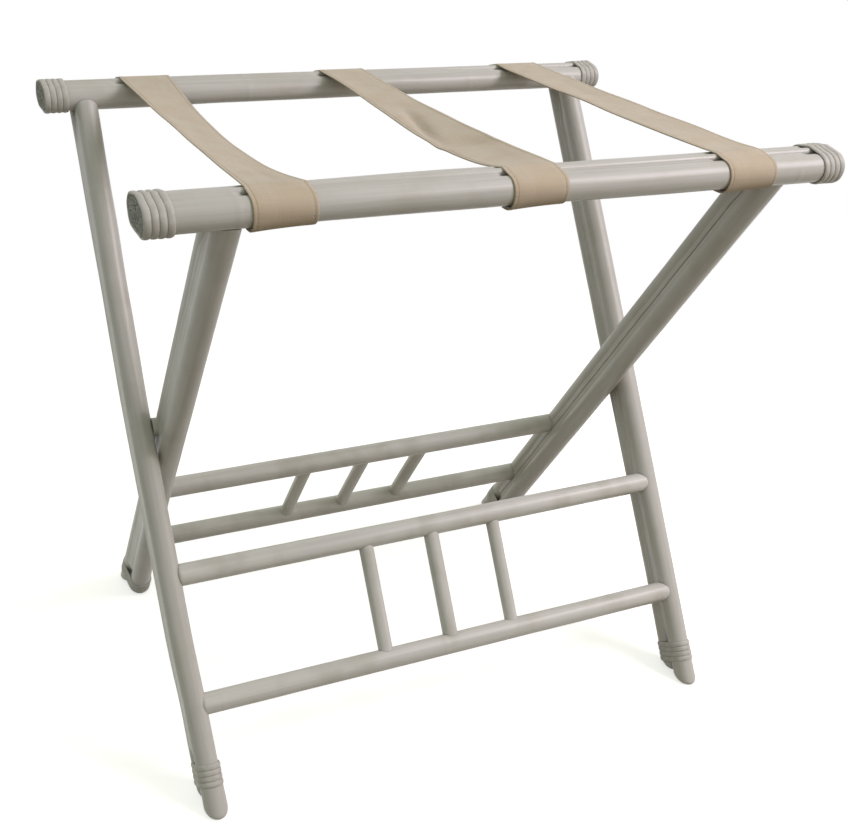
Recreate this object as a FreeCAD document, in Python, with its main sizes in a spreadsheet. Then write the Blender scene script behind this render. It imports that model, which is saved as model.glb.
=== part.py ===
# Folding luggage rack of round rattan poles, with three canvas straps.
#
# Two leaning frames cross and turn on a pair of pivot bolts. The outer frame has its rail at
# the back and its feet at the front; the inner frame stands the other way round, between the
# outer frame's legs. Each leg is a pair of poles, an upper one and an under one, coped and
# dowelled to the underside of a rail. A rail is two poles side by side with a thin reed in
# the groove on top. Bands of rattan peel bind the rail ends and the feet, two stretchers and
# three spindles brace each frame, and the straps join the rails and stop them spreading.
#
# Millimetres and degrees. +X runs along the rails to the right, +Y to the back and +Z up.
# The origin is on the floor, midway between the four feet.
import FreeCAD, Part
import math
import os
import re
import Sketcher
from FreeCAD import Vector

# Driving dimensions. Each is a cell of the sheet "sizes".
SIZES = {
    # how the frames stand
    "leg_lean": 33.8,
    "pivot_height": 315,
    # how much less the rails rise above the pivot than the feet drop below it
    "rail_shortfall": 40,
    "rail_set_out": 16.8,
    "inner_leg_x": 257,
    "frame_gap": 2,
    # poles
    "leg_pole_diameter": 22,
    "outer_under_diameter": 20,
    "inner_under_diameter": 23,
    "rail_pole_diameter": 23.5,
    "reed_diameter": 8,
    "rail_overhang": 41,
    "rail_end_recess": 1.2,
    # leg tops and feet
    "upper_top_trim": 3,
    "under_top_trim": 7,
    "toe_flat": 15,
    # stretchers and spindles, measured up the legs from the floor
    "stretcher_diameter": 22,
    "stretcher_horn_trim": 3,
    "outer_stretcher_rise": 105,
    "inner_stretcher_rise": 106,
    "outer_stretcher_gap": 127,
    "inner_stretcher_gap": 130,
    "spindle_diameter": 17,
    "spindle_spacing": 74,
    # peel bindings
    "peel_width": 5.1,
    "peel_thickness": 1.6,
    "peel_turns": 4,
    "binding_floor_gap": 1,
    # pivot
    "screw_diameter": 6,
    "screw_head_diameter": 12,
    "screw_head_height": 3.5,
    "screw_depth": 15,
    "screw_socket": 4,
    "screw_socket_depth": 2,
    "counterbore_diameter": 13,
    "counterbore_depth": 7,
    "plug_gap": 0.3,
    "spacer_diameter": 18,
    "spacer_seat_depth": 1.5,
    # straps
    "strap_width": 51,
    "strap_thickness": 1.6,
    "strap_leg_gap": 4,
    "left_strap_sag": 10,
    "middle_strap_sag": 7,
    "right_strap_sag": 1.5,
    # clearances
    "fit_clearance": 0.1,
    "cope_gap": 0.15,
    "running_clearance": 0.05,
    "strap_clearance": 0.3,
}

# Dimensions worked out from the driving ones. Each is a property of the object "layout".
LAYOUT = {
    "leg_radius": "leg_pole_diameter / 2",
    "outer_leg_x": "inner_leg_x + leg_pole_diameter + frame_gap",
    # distance between the axes of a leg's two poles
    "outer_pair_gauge": "(leg_pole_diameter + outer_under_diameter) / 2 + fit_clearance",
    "inner_pair_gauge": "(leg_pole_diameter + inner_under_diameter) / 2 + fit_clearance",
    # from the pivot down the leg to the floor
    "floor_drop": "pivot_height / cos(leg_lean)",
    "rail_rise": "pivot_height - rail_shortfall",
    "rail_height": "pivot_height + rail_rise",
    "rail_y": "rail_rise * tan(leg_lean) + rail_set_out",
    # the rail's centre as seen in the leaning frame: along the legs, and across to the under side
    "rail_along": "rail_y * sin(leg_lean) + rail_rise * cos(leg_lean)",
    "rail_across": "rail_y * cos(leg_lean) - rail_rise * sin(leg_lean)",
    "rail_half_gauge": "(rail_pole_diameter + fit_clearance) / 2",
    "rail_half_length": "outer_leg_x + rail_overhang",
    "rail_radius": "rail_pole_diameter / 2",
    "reed_radius": "reed_diameter / 2",
    "reed_reach": "rail_radius + reed_radius + fit_clearance / 2",
    "reed_rise": "sqrt(reed_reach ^ 2 - rail_half_gauge ^ 2)",
    # how far along the leg and across it the rail poles lie from the rail's centre
    "rail_step_along": "rail_half_gauge * sin(leg_lean)",
    "rail_step_across": "rail_half_gauge * cos(leg_lean)",
    "binding_width": "peel_width * peel_turns",
    # seat of the pivot screw's head, from the middle of the rack
    "head_seat_x": "outer_leg_x + leg_radius - counterbore_depth",
    "spacer_outer_x": "outer_leg_x - leg_radius + spacer_seat_depth",
    "spacer_inner_x": "inner_leg_x + leg_radius - spacer_seat_depth + fit_clearance",
    # stretchers, from the pivot down the leg
    "outer_lower_stretcher_drop": "floor_drop - outer_stretcher_rise",
    "inner_lower_stretcher_drop": "floor_drop - inner_stretcher_rise",
    "outer_upper_stretcher_drop": "outer_lower_stretcher_drop - outer_stretcher_gap",
    "inner_upper_stretcher_drop": "inner_lower_stretcher_drop - inner_stretcher_gap",
    "strap_x": "inner_leg_x - leg_radius - strap_leg_gap - strap_width / 2",
    "strap_top": "rail_height + reed_rise + reed_radius + strap_clearance + strap_thickness",
}

FRAMES = ("outer", "inner")
# The inner frame is the outer one turned half round, so its left leg is built on local +X.
LOCAL_SIDE = {
    "outer": {"left": -1, "right": 1},
    "inner": {"left": 1, "right": -1},
}
# Which rail pole lies over the upper poles of the legs, and which over the under poles.
RAIL_POLES = {
    "outer": {"front": -1, "back": 1},
    "inner": {"back": -1, "front": 1},
}
# The outer frame's rail is at the back, the inner one's at the front.
RAIL_SIDE = {"outer": 1, "inner": -1}
STRAPS = {"left": "-strap_x", "middle": "0", "right": "strap_x"}

doc = FreeCAD.newDocument("luggage_rack")
pieces = []


def bound(text):
    """Write an expression's plain names as references to the sheet and to the layout."""

    def reference(match):
        name = match.group()
        if name in SIZES:
            return "sizes." + name
        if name in LAYOUT:
            return "layout." + name
        return name

    return re.sub(r"[a-z_]+", reference, text)


def value(text):
    """The present value of an expression, used only to draw a sketch near its solution."""
    found = sheet.evalExpression(bound(text))
    return float(getattr(found, "Value", found))


def placed(x="0", y="0", z="0", axis="0; 0; 1", angle="0"):
    """Expression for a placement from expressions for its place, axis and angle."""
    return bound(f"placement(vector({x}; {y}; {z}); rotation(vector({axis}); {angle}))")


def in_frame(frame, x="0", y="0", z="0", axis="0; 0; 1", angle="0"):
    """Expression for a placement measured in a frame's leaning plane from the pivot."""
    return f"{frame}_plane.Placement * " + placed(x, y, z, axis, angle)


# ---------------------------------------------------------------------------------- sketches


def add_body(label, placement):
    """Start a piece: a body with its label and its bound placement."""
    body = doc.addObject("PartDesign::Body", label)
    body.Label = label
    body.setExpression("Placement", placement)
    pieces.append(body)
    return body


def add_sketch(body, name, plane, offset="0", tilt="0"):
    """Sketch on one of the body's own origin planes, moved along its normal and tilted."""
    sketch = body.newObject("Sketcher::SketchObject", f"{body.Label}_{name}")
    support = next(item for item in body.Origin.OriginFeatures if item.Role == plane)
    sketch.AttachmentSupport = [(support, "")]
    sketch.MapMode = "FlatFace"
    sketch.setExpression("AttachmentOffset", placed(z=offset, axis="1; 0; 0", angle=tilt))
    return sketch


def constrain(sketch, kind, *arguments, to=None):
    """Add one constraint and, where it is a dimension, bind it to an expression."""
    if to is None:
        return sketch.addConstraint(Sketcher.Constraint(kind, *arguments))
    index = sketch.addConstraint(Sketcher.Constraint(kind, *arguments, value(to)))
    sketch.setExpression(f"Constraints[{index}]", bound(to))
    return index


def place_point(sketch, geometry, point, x, y):
    """Hold a point of a sketch at expressions measured from the sketch's origin."""
    constrain(sketch, "DistanceX", -1, 1, geometry, point, to=x)
    constrain(sketch, "DistanceY", -1, 1, geometry, point, to=y)


def add_circle(sketch, diameter, x="0", y="0"):
    """Full circle with a bound diameter and centre."""
    centre = Vector(value(x), value(y), 0)
    circle = Part.Circle(centre, Vector(0, 0, 1), value(diameter) / 2)
    index = sketch.addGeometry(circle)
    constrain(sketch, "Diameter", index, to=diameter)
    place_point(sketch, index, 3, x, y)
    return index


def add_polygon(sketch, corners):
    """Closed outline of straight lines through bound corners."""
    points = [Vector(value(x), value(y), 0) for x, y in corners]
    count = len(points)
    sides = []
    for i in range(count):
        side = Part.LineSegment(points[i], points[(i + 1) % count])
        sides.append(sketch.addGeometry(side))
        place_point(sketch, sides[i], 1, *corners[i])
    for i in range(count):
        constrain(sketch, "Coincident", sides[i], 2, sides[(i + 1) % count], 1)


def tangent_direction(start, end):
    """Outward normal of the line that touches two circles, each (centre, radius)."""
    across = end[0] - start[0]
    along = Vector(across).normalize()
    share = (start[1] - end[1]) / across.Length
    right = Vector(along.y, -along.x, 0)
    return along * share + right * math.sqrt(1 - share * share)


def add_hull(sketch, circles, grow):
    """Tight outline round circles given as (x, y, radius), each radius grown by "grow".

    The circles are listed counter-clockwise. The outline is arcs joined by tangent lines.
    """
    radii = [f"{radius} + {grow}" for _, _, radius in circles]
    known = []
    for (x, y, _), radius in zip(circles, radii):
        known.append((Vector(value(x), value(y), 0), value(radius)))
    count = len(known)
    normals = [tangent_direction(known[i], known[(i + 1) % count]) for i in range(count)]
    arcs = []
    lines = []
    for i, (centre, radius) in enumerate(known):
        start = math.atan2(normals[i - 1].y, normals[i - 1].x)
        end = math.atan2(normals[i].y, normals[i].x)
        if end < start:
            end += 2 * math.pi
        circle = Part.Circle(centre, Vector(0, 0, 1), radius)
        arcs.append(sketch.addGeometry(Part.ArcOfCircle(circle, start, end)))
    for i in range(count):
        centre, radius = known[i]
        following, next_radius = known[(i + 1) % count]
        first = centre + normals[i] * radius
        last = following + normals[i] * next_radius
        lines.append(sketch.addGeometry(Part.LineSegment(first, last)))
    for i in range(count):
        constrain(sketch, "Tangent", arcs[i], 2, lines[i], 1)
        constrain(sketch, "Tangent", lines[i], 2, arcs[(i + 1) % count], 1)
        constrain(sketch, "Radius", arcs[i], to=radii[i])
        place_point(sketch, arcs[i], 3, circles[i][0], circles[i][1])


def add_domed_half(sketch, radius, centre, top):
    """Half outline of a pole that ends in a dome, centred at height "centre", below."""
    r = value(radius)
    low = value(centre)
    high = value(top)
    dome = Part.Circle(Vector(0, low, 0), Vector(0, 0, 1), r)
    arc = sketch.addGeometry(Part.ArcOfCircle(dome, -math.pi / 2, 0))
    side = sketch.addGeometry(Part.LineSegment(Vector(r, low, 0), Vector(r, high, 0)))
    head = sketch.addGeometry(Part.LineSegment(Vector(r, high, 0), Vector(0, high, 0)))
    axis = sketch.addGeometry(Part.LineSegment(Vector(0, high, 0), Vector(0, low - r, 0)))
    constrain(sketch, "Tangent", arc, 2, side, 1)
    constrain(sketch, "Coincident", side, 2, head, 1)
    constrain(sketch, "Coincident", head, 2, axis, 1)
    constrain(sketch, "Coincident", axis, 2, arc, 1)
    constrain(sketch, "Horizontal", head)
    constrain(sketch, "PointOnObject", axis, 1, -2)
    constrain(sketch, "PointOnObject", axis, 2, -2)
    constrain(sketch, "Radius", arc, to=radius)
    place_point(sketch, arc, 3, "0", centre)
    place_point(sketch, head, 1, radius, top)


def add_hexagon(sketch, across_flats):
    """Regular hexagon about the sketch's origin."""
    radius = f"{across_flats} / sqrt(3)"
    circle = Part.Circle(Vector(0, 0, 0), Vector(0, 0, 1), value(radius))
    ring = sketch.addGeometry(circle, True)
    constrain(sketch, "Radius", ring, to=radius)
    constrain(sketch, "Coincident", ring, 3, -1, 1)
    corners = []
    for step in range(6):
        angle = math.radians(60 * step + 30)
        corners.append(Vector(math.cos(angle), math.sin(angle), 0) * value(radius))
    sides = []
    for step in range(6):
        side = Part.LineSegment(corners[step], corners[(step + 1) % 6])
        sides.append(sketch.addGeometry(side))
    for step in range(6):
        constrain(sketch, "Coincident", sides[step], 2, sides[(step + 1) % 6], 1)
        constrain(sketch, "PointOnObject", sides[step], 1, ring)
    for side in sides[1:]:
        constrain(sketch, "Equal", sides[0], side)
    constrain(sketch, "Vertical", sides[5])


# ---------------------------------------------------------------------------------- features


def add_pad(sketch, length, reverse=False, symmetric=False):
    """Extrude a sketch along its normal, against it, or both ways."""
    body = sketch.getParentGeoFeatureGroup()
    pad = body.newObject("PartDesign::Pad", f"{sketch.Name}_pad")
    pad.Profile = sketch
    pad.setExpression("Length", bound(length))
    pad.Reversed = reverse
    if symmetric:
        pad.SideType = "Symmetric"
    return pad


def add_pocket(sketch, towards=0):
    """Cut a sketch all through: both ways, or only towards +1 or -1 of its normal."""
    body = sketch.getParentGeoFeatureGroup()
    pocket = body.newObject("PartDesign::Pocket", f"{sketch.Name}_cut")
    pocket.Profile = sketch
    pocket.Type = "ThroughAll"
    pocket.Reversed = towards > 0
    if towards == 0:
        pocket.SideType = "Symmetric"
    return pocket


def add_turned(sketch):
    """Turn a half outline full round its sketch's own upright axis."""
    body = sketch.getParentGeoFeatureGroup()
    turned = body.newObject("PartDesign::Revolution", f"{sketch.Name}_turned")
    turned.Profile = sketch
    turned.ReferenceAxis = (sketch, ["V_Axis"])
    turned.Angle = 360
    return turned


# -------------------------------------------------------------------------------------- legs


def rail_circles(frame, across):
    """The rail's two poles as seen from the axis of a leg pole that lies "across" the frame."""
    circles = []
    for step in (-1, 1):
        y = f"rail_across + {step} * rail_step_across - ({across})"
        z = f"rail_along + {step} * rail_step_along"
        circles.append((y, z))
    return circles


def leg_pole(frame, side, kind):
    """One pole of a leg: coped to the rail above, domed below and cut flat on the floor."""
    local = LOCAL_SIDE[frame][side]
    upper = kind == "upper"
    diameter = "leg_pole_diameter" if upper else f"{frame}_under_diameter"
    across = "0" if upper else f"{frame}_pair_gauge"
    placement = in_frame(frame, f"{local} * {frame}_leg_x", across)
    body = add_body(f"{frame}_leg_{side}_{kind}_pole", placement)

    foot = f"(floor_drop - {across} * tan(leg_lean))"
    dome_rise = f"sqrt(({diameter} / 2) ^ 2 - (toe_flat / 2) ^ 2)"
    trim = f"{kind}_top_trim"
    top = f"(rail_rise - {trim}) / cos(leg_lean) + {across} * tan(leg_lean)"
    blank = add_sketch(body, "blank", "YZ_Plane")
    dome_centre = f"{dome_rise} / cos(leg_lean) - {foot}"
    add_domed_half(blank, f"{diameter} / 2", dome_centre, f"{top} + {diameter}")
    add_turned(blank)

    floor = add_sketch(body, "floor", "XY_Plane", offset=f"-{foot}", tilt="leg_lean")
    add_circle(floor, f"4 * {diameter}")
    add_pocket(floor, towards=-1)

    head = add_sketch(body, "head", "XY_Plane", offset=top, tilt="leg_lean")
    add_circle(head, f"4 * {diameter}")
    add_pocket(head, towards=1)

    cope = add_sketch(body, "cope", "YZ_Plane")
    for y, z in rail_circles(frame, across):
        add_circle(cope, "rail_pole_diameter + 2 * cope_gap", y, z)
    add_pocket(cope)
    if upper:
        pivot_bores(body, frame, local)
    return body


def pivot_bores(body, frame, local):
    """Screw bore, head counterbore and the spacer's flat seat, in an upper pole."""
    outward = local if frame == "outer" else -local
    if frame == "outer":
        clear = add_sketch(body, "screw_bore", "YZ_Plane")
        add_circle(clear, "screw_diameter + 2 * running_clearance")
        add_pocket(clear)
        depth = f"{outward} * (leg_radius - counterbore_depth)"
        counterbore = add_sketch(body, "counterbore", "YZ_Plane", offset=depth)
        add_circle(counterbore, "counterbore_diameter")
        add_pocket(counterbore, towards=outward)
    else:
        bottom = f"{outward} * (screw_depth - leg_radius)"
        blind = add_sketch(body, "screw_bore", "YZ_Plane", offset=bottom)
        add_circle(blind, "screw_diameter + 2 * fit_clearance")
        add_pocket(blind, towards=-outward)

    seat_depth = f"{-outward} * (leg_radius - spacer_seat_depth)"
    seat = add_sketch(body, "spacer_seat", "YZ_Plane", offset=seat_depth)
    add_circle(seat, "spacer_diameter + 4 * fit_clearance")
    add_pocket(seat, towards=-outward)


# ------------------------------------------------------------------------------------- rails


def rail_pole(frame, place):
    """One of the rail's two poles."""
    step = RAIL_POLES[frame][place]
    y = f"rail_across + {step} * rail_step_across"
    z = f"rail_along + {step} * rail_step_along"
    body = add_body(f"{frame}_rail_{place}_pole", in_frame(frame, "0", y, z))
    section = add_sketch(body, "section", "YZ_Plane")
    add_circle(section, "rail_pole_diameter")
    add_pad(section, "2 * (rail_half_length - rail_end_recess)", symmetric=True)
    return body


def at_rail(frame):
    """Placement at the rail, with the piece's own Z along X, its X along Y and its Y up."""
    y = f"{RAIL_SIDE[frame]} * rail_y"
    return placed("0", y, "rail_height", "1; 1; 1", "120")


def rail_outline():
    """The rail's section: two poles side by side and the reed in the groove above them."""
    return [
        ("-rail_half_gauge", "0", "rail_radius"),
        ("rail_half_gauge", "0", "rail_radius"),
        ("0", "reed_rise", "reed_radius"),
    ]


def rail_reed(frame):
    """Thin pole that lies in the groove on top of the rail."""
    body = add_body(f"{frame}_rail_reed", at_rail(frame))
    section = add_sketch(body, "section", "XY_Plane")
    add_circle(section, "reed_diameter", "0", "reed_rise")
    add_pad(section, "2 * (rail_half_length - rail_end_recess)", symmetric=True)
    return body


# ---------------------------------------------------------------------------------- bindings


def add_bindings(body, bands):
    """Bands of peel with room for the poles inside, given as (name, circles, start)."""
    body.AllowCompound = True
    for name, circles, start in bands:
        band = add_sketch(body, name, "XY_Plane", offset=start)
        add_hull(band, circles, "fit_clearance + peel_thickness")
        add_hull(band, circles, "fit_clearance")
        add_pad(band, "binding_width")


def rail_bindings(frame):
    """Peel bindings flush with both ends of a rail."""
    body = add_body(f"{frame}_rail_bindings", at_rail(frame))
    bands = [
        ("left", rail_outline(), "-rail_half_length"),
        ("right", rail_outline(), "rail_half_length - binding_width"),
    ]
    add_bindings(body, bands)
    return body


def foot_bindings(frame):
    """Peel bindings round the two poles of each leg, just clear of the floor."""
    gauge = f"{frame}_pair_gauge"
    radius = f"{frame}_under_diameter / 2"
    reach = f"({gauge} + {radius} + fit_clearance + peel_thickness)"
    rise = f"({reach} * tan(leg_lean) + binding_floor_gap / cos(leg_lean))"
    body = add_body(f"{frame}_foot_bindings", in_frame(frame, "0", "0", f"{rise} - floor_drop"))
    bands = []
    for name, side in (("left", -1), ("right", 1)):
        x = f"{side} * {frame}_leg_x"
        bands.append((name, [(x, "0", "leg_radius"), (x, gauge, radius)], "0"))
    add_bindings(body, bands)
    return body


# ------------------------------------------------------------------- stretchers and spindles


def stretcher(frame, level):
    """Cross pole between a frame's legs, coped to the upper poles at both ends."""
    drop = f"{frame}_{level}_stretcher_drop"
    body = add_body(f"{frame}_{level}_stretcher", in_frame(frame, "0", "0", f"-{drop}"))
    section = add_sketch(body, "section", "YZ_Plane")
    add_circle(section, "stretcher_diameter")
    add_pad(section, f"2 * ({frame}_leg_x - stretcher_horn_trim)", symmetric=True)

    copes = add_sketch(body, "copes", "XY_Plane")
    for side in (-1, 1):
        add_circle(copes, "leg_pole_diameter + 2 * cope_gap", f"{side} * {frame}_leg_x", "0")
    add_pocket(copes)

    return body


def spindle(frame, name, place):
    """Short upright between the two stretchers, coped to them at both ends."""
    low = f"-{frame}_lower_stretcher_drop"
    length = f"({frame}_lower_stretcher_drop - {frame}_upper_stretcher_drop)"
    body = add_body(f"{frame}_spindle_{name}", in_frame(frame, place, "0", low))
    section = add_sketch(body, "section", "XY_Plane")
    add_circle(section, "spindle_diameter")
    add_pad(section, length)

    copes = add_sketch(body, "copes", "YZ_Plane")
    for level in ("0", length):
        add_circle(copes, "stretcher_diameter + 2 * cope_gap", "0", level)
    add_pocket(copes)
    return body


# --------------------------------------------------------------------------------------- pivot


def add_pivot_pair(label):
    """Start a piece with a left and a right solid on the pivot's axis, its own Z along X."""
    body = add_body(label, placed(z="pivot_height", axis="0; 1; 0", angle="90"))
    body.AllowCompound = True
    return body


def pivot_screws():
    """Shoulder screws with a hexagon socket, through the outer legs into the inner ones."""
    body = add_pivot_pair("pivot_screws")
    tip = "(outer_leg_x - leg_radius - frame_gap - screw_depth + fit_clearance)"
    for name, side in (("left", -1), ("right", 1)):
        shank = add_sketch(body, f"{name}_shank", "XY_Plane", offset=f"{side} * {tip}")
        add_circle(shank, "screw_diameter")
        add_pad(shank, f"head_seat_x - {tip}", reverse=side < 0)
        head = add_sketch(body, f"{name}_head", "XY_Plane", offset=f"{side} * head_seat_x")
        add_circle(head, "screw_head_diameter")
        add_hexagon(head, "screw_socket")
        add_pad(head, "screw_head_height", reverse=side < 0)
    return body


def pivot_spacers():
    """Thick washers that keep the frames apart, let into a flat seat on each leg."""
    body = add_pivot_pair("pivot_spacers")
    for name, side in (("left", -1), ("right", 1)):
        section = add_sketch(body, name, "XY_Plane", offset=f"{side} * spacer_inner_x")
        add_circle(section, "spacer_diameter")
        add_circle(section, "screw_diameter + 2 * running_clearance")
        add_pad(section, "spacer_outer_x - spacer_inner_x", reverse=side < 0)
    return body


def pivot_plugs():
    """Wooden plugs over the screw heads, dressed to the round of the outer legs."""
    body = add_body("outer_pivot_plugs", in_frame("outer", axis="0; 1; 0", angle="90"))
    body.AllowCompound = True
    for name, side in (("left", -1), ("right", 1)):
        inner_end = f"{side} * (head_seat_x + screw_head_height + plug_gap)"
        section = add_sketch(body, name, "XY_Plane", offset=inner_end)
        add_circle(section, "counterbore_diameter - 2 * fit_clearance")
        add_pad(section, "leg_radius", reverse=side < 0)
    dressing = add_sketch(body, "dressing", "YZ_Plane")
    for side in (-1, 1):
        add_circle(dressing, "4 * leg_radius", "0", f"{side} * outer_leg_x")
        add_circle(dressing, "2 * leg_radius", "0", f"{side} * outer_leg_x")
    add_pocket(dressing)
    return body


# -------------------------------------------------------------------------------------- straps


def strap_wraps(frame):
    """The ends of the three straps: over the rail, down its outer side and under it."""
    place = "back" if frame == "outer" else "front"
    inward = -RAIL_SIDE[frame]
    body = add_body(f"strap_{place}_wraps", at_rail(frame))
    body.AllowCompound = True
    for name, x in STRAPS.items():
        section = add_sketch(body, name, "XY_Plane", offset=x)
        add_hull(section, rail_outline(), "strap_clearance + strap_thickness")
        add_hull(section, rail_outline(), "strap_clearance")
        add_pad(section, "strap_width", symmetric=True)

    far = f"{inward} * rail_half_length"
    under_end = f"{inward} * rail_half_gauge"
    opening = add_sketch(body, "opening", "XY_Plane")
    corners = [
        ("0", "rail_half_length"),
        ("0", "0"),
        (under_end, "0"),
        (under_end, "-rail_half_length"),
        (far, "-rail_half_length"),
        (far, "rail_half_length"),
    ]
    add_polygon(opening, corners)
    add_pocket(opening)
    return body


def strap_span(name):
    """The free part of a strap between the rails, sagging in a shallow arc."""
    sag = f"{name}_strap_sag"
    placement = placed(STRAPS[name], "0", "strap_top + strap_clearance")
    body = add_body(f"strap_{name}_span", placement)
    section = add_sketch(body, "section", "YZ_Plane")
    radius = f"(rail_y ^ 2 + {sag} ^ 2) / (2 * {sag})"
    half_angle = math.asin(value("rail_y") / value(radius))
    arcs = []
    for level in ("0", "strap_thickness"):
        centre = Vector(0, value(f"{level} - {sag} + {radius}"), 0)
        circle = Part.Circle(centre, Vector(0, 0, 1), value(radius))
        arc = Part.ArcOfCircle(circle, -math.pi / 2 - half_angle, -math.pi / 2 + half_angle)
        index = section.addGeometry(arc)
        place_point(section, index, 1, "-rail_y", level)
        place_point(section, index, 2, "rail_y", level)
        constrain(section, "Radius", index, to=radius)
        arcs.append(index)
    for point, y in ((1, "-rail_y"), (2, "rail_y")):
        low = Vector(value(y), 0, 0)
        high = Vector(value(y), value("strap_thickness"), 0)
        end = section.addGeometry(Part.LineSegment(low, high))
        constrain(section, "Coincident", end, 1, arcs[0], point)
        constrain(section, "Coincident", end, 2, arcs[1], point)
    add_pad(section, "strap_width", symmetric=True)
    return body


# --------------------------------------------------------------------------------- the document


sheet = doc.addObject("Spreadsheet::Sheet", "sizes")
for row, (name, number) in enumerate(SIZES.items(), start=1):
    sheet.set(f"A{row}", name)
    sheet.set(f"B{row}", str(number))
    sheet.setAlias(f"B{row}", name)
doc.recompute()

layout = doc.addObject("App::VarSet", "layout")
for name, formula in LAYOUT.items():
    layout.addProperty("App::PropertyFloat", name)
    layout.setExpression(name, bound(formula))
    doc.recompute()

# The arc cosine of the rail's side is no turn for the outer frame and half a turn for the inner.
for frame in FRAMES:
    plane = doc.addObject("App::Placement", f"{frame}_plane")
    turned = placed(z="pivot_height", angle=f"acos({RAIL_SIDE[frame]})")
    lean = placed(axis="1; 0; 0", angle="-leg_lean")
    plane.setExpression("Placement", turned + " * " + lean)
doc.recompute()

for frame in FRAMES:
    for place in RAIL_POLES[frame]:
        rail_pole(frame, place)
    rail_reed(frame)
    rail_bindings(frame)
    for side in ("left", "right"):
        for kind in ("upper", "under"):
            leg_pole(frame, side, kind)
    foot_bindings(frame)
    for level in ("upper", "lower"):
        stretcher(frame, level)
    for name, place in (("left", -1), ("middle", 0), ("right", 1)):
        spindle(frame, name, f"{place * RAIL_SIDE[frame]} * spindle_spacing")
    strap_wraps(frame)

pivot_screws()
pivot_spacers()
pivot_plugs()
for name in STRAPS:
    strap_span(name)

doc.recompute()

# ----------------------------------------------------------------------------- check and export

failed = [item.Name for item in doc.Objects if set(item.State) & {"Invalid", "Error"}]
for piece in pieces:
    shape = piece.Shape
    if shape.isNull() or not shape.isValid() or not shape.Solids:
        failed.append(piece.Label)
if failed:
    raise RuntimeError("failed: " + ", ".join(failed))

os.makedirs("parts", exist_ok=True)
for piece in pieces:
    piece.Shape.exportStep(f"parts/{piece.Label}.step")
print(len(pieces), "pieces written")
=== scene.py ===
import math

import bmesh
import bpy
from mathutils import Matrix, Vector, noise


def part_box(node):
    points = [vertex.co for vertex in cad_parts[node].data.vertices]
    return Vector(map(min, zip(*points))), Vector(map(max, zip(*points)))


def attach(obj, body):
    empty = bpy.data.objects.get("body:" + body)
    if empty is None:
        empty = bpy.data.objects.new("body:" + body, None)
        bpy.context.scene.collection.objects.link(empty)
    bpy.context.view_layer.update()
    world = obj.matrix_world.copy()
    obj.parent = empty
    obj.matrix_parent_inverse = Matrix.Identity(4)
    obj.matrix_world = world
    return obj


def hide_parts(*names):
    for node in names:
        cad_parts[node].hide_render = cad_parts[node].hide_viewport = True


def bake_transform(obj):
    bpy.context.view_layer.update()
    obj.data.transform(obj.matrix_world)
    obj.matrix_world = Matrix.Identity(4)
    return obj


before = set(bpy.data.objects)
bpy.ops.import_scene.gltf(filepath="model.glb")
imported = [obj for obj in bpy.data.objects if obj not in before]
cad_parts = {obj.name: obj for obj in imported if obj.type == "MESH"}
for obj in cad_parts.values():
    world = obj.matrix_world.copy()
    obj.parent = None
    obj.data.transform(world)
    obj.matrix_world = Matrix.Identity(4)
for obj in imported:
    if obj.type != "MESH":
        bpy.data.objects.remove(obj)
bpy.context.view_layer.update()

# Folding luggage rack of rattan canes under brushed satin paint, with bands of peel round the
# rail ends and the feet, and three hemmed canvas straps.

# ------------------------------------------------------------------------- sizes, in metres

LEAN = math.radians(33.8)
SLOPE = math.tan(LEAN)
PIVOT_HEIGHT = 0.315
RAIL_HEIGHT = 0.590
RAIL_SET_OUT = 0.0168
RAIL_Y = (RAIL_HEIGHT - PIVOT_HEIGHT) * SLOPE + RAIL_SET_OUT
RAIL_RADIUS = 0.01175
RAIL_HALF_GAUGE = 0.0118
# The canes stop this far short of the rail's ends, behind its sawn faces.
RAIL_END_RECESS = 0.0012
SAWN_FACE_DEPTH = 0.0022
REED_RADIUS = 0.004
REED_TO_CANE = 0.0158
REED_RISE = math.sqrt(REED_TO_CANE**2 - RAIL_HALF_GAUGE**2)
# From the pivot down to the floor along a leg.
FLOOR_DROP = PIVOT_HEIGHT / math.cos(LEAN)
LEG_RADIUS = 0.011
LEG_X = {"outer": 0.281, "inner": 0.257}
UNDER_RADIUS = {"outer": 0.010, "inner": 0.0115}
PAIR_GAUGE = {"outer": 0.0211, "inner": 0.0226}
STRETCHER_RADIUS = 0.011
COPE_GAP = 0.00015
CANE_WAVER = 0.00015
SIDES = ("outer", "inner")
BODY = {"outer": "outer_frame", "inner": "inner_frame"}
# A frame's rail lies to the back or to the front, and its straps' ends are given in that order.
RAIL_SIDE = {"outer": 1, "inner": -1}
STRAP_END = {"outer": 0, "inner": 1}

# Tip of each leg's upper cane above the pivot, along the leg.
LEG_HEAD = {
    ("outer", "left"): 0.3285,
    ("outer", "right"): 0.3345,
    ("inner", "left"): 0.3345,
    ("inner", "right"): 0.3345,
}
LEG_HEAD_DOME = 0.008
# Height over the floor at which the under canes are cut level.
UNDER_LEG_TOP = 0.583
TOE_ROUNDING = 0.0062
# Upper canes are this much thicker at the toe.
TOE_SWELL = 0.0005
# Lap of a stretcher over the rack's left leg and its right one: how far its tip stays from the
# leg's middle line, and how long its rounding is.
STRETCHER_LAPS = ((0.0060, 0.0050), (0.0005, 0.0070))

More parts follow.
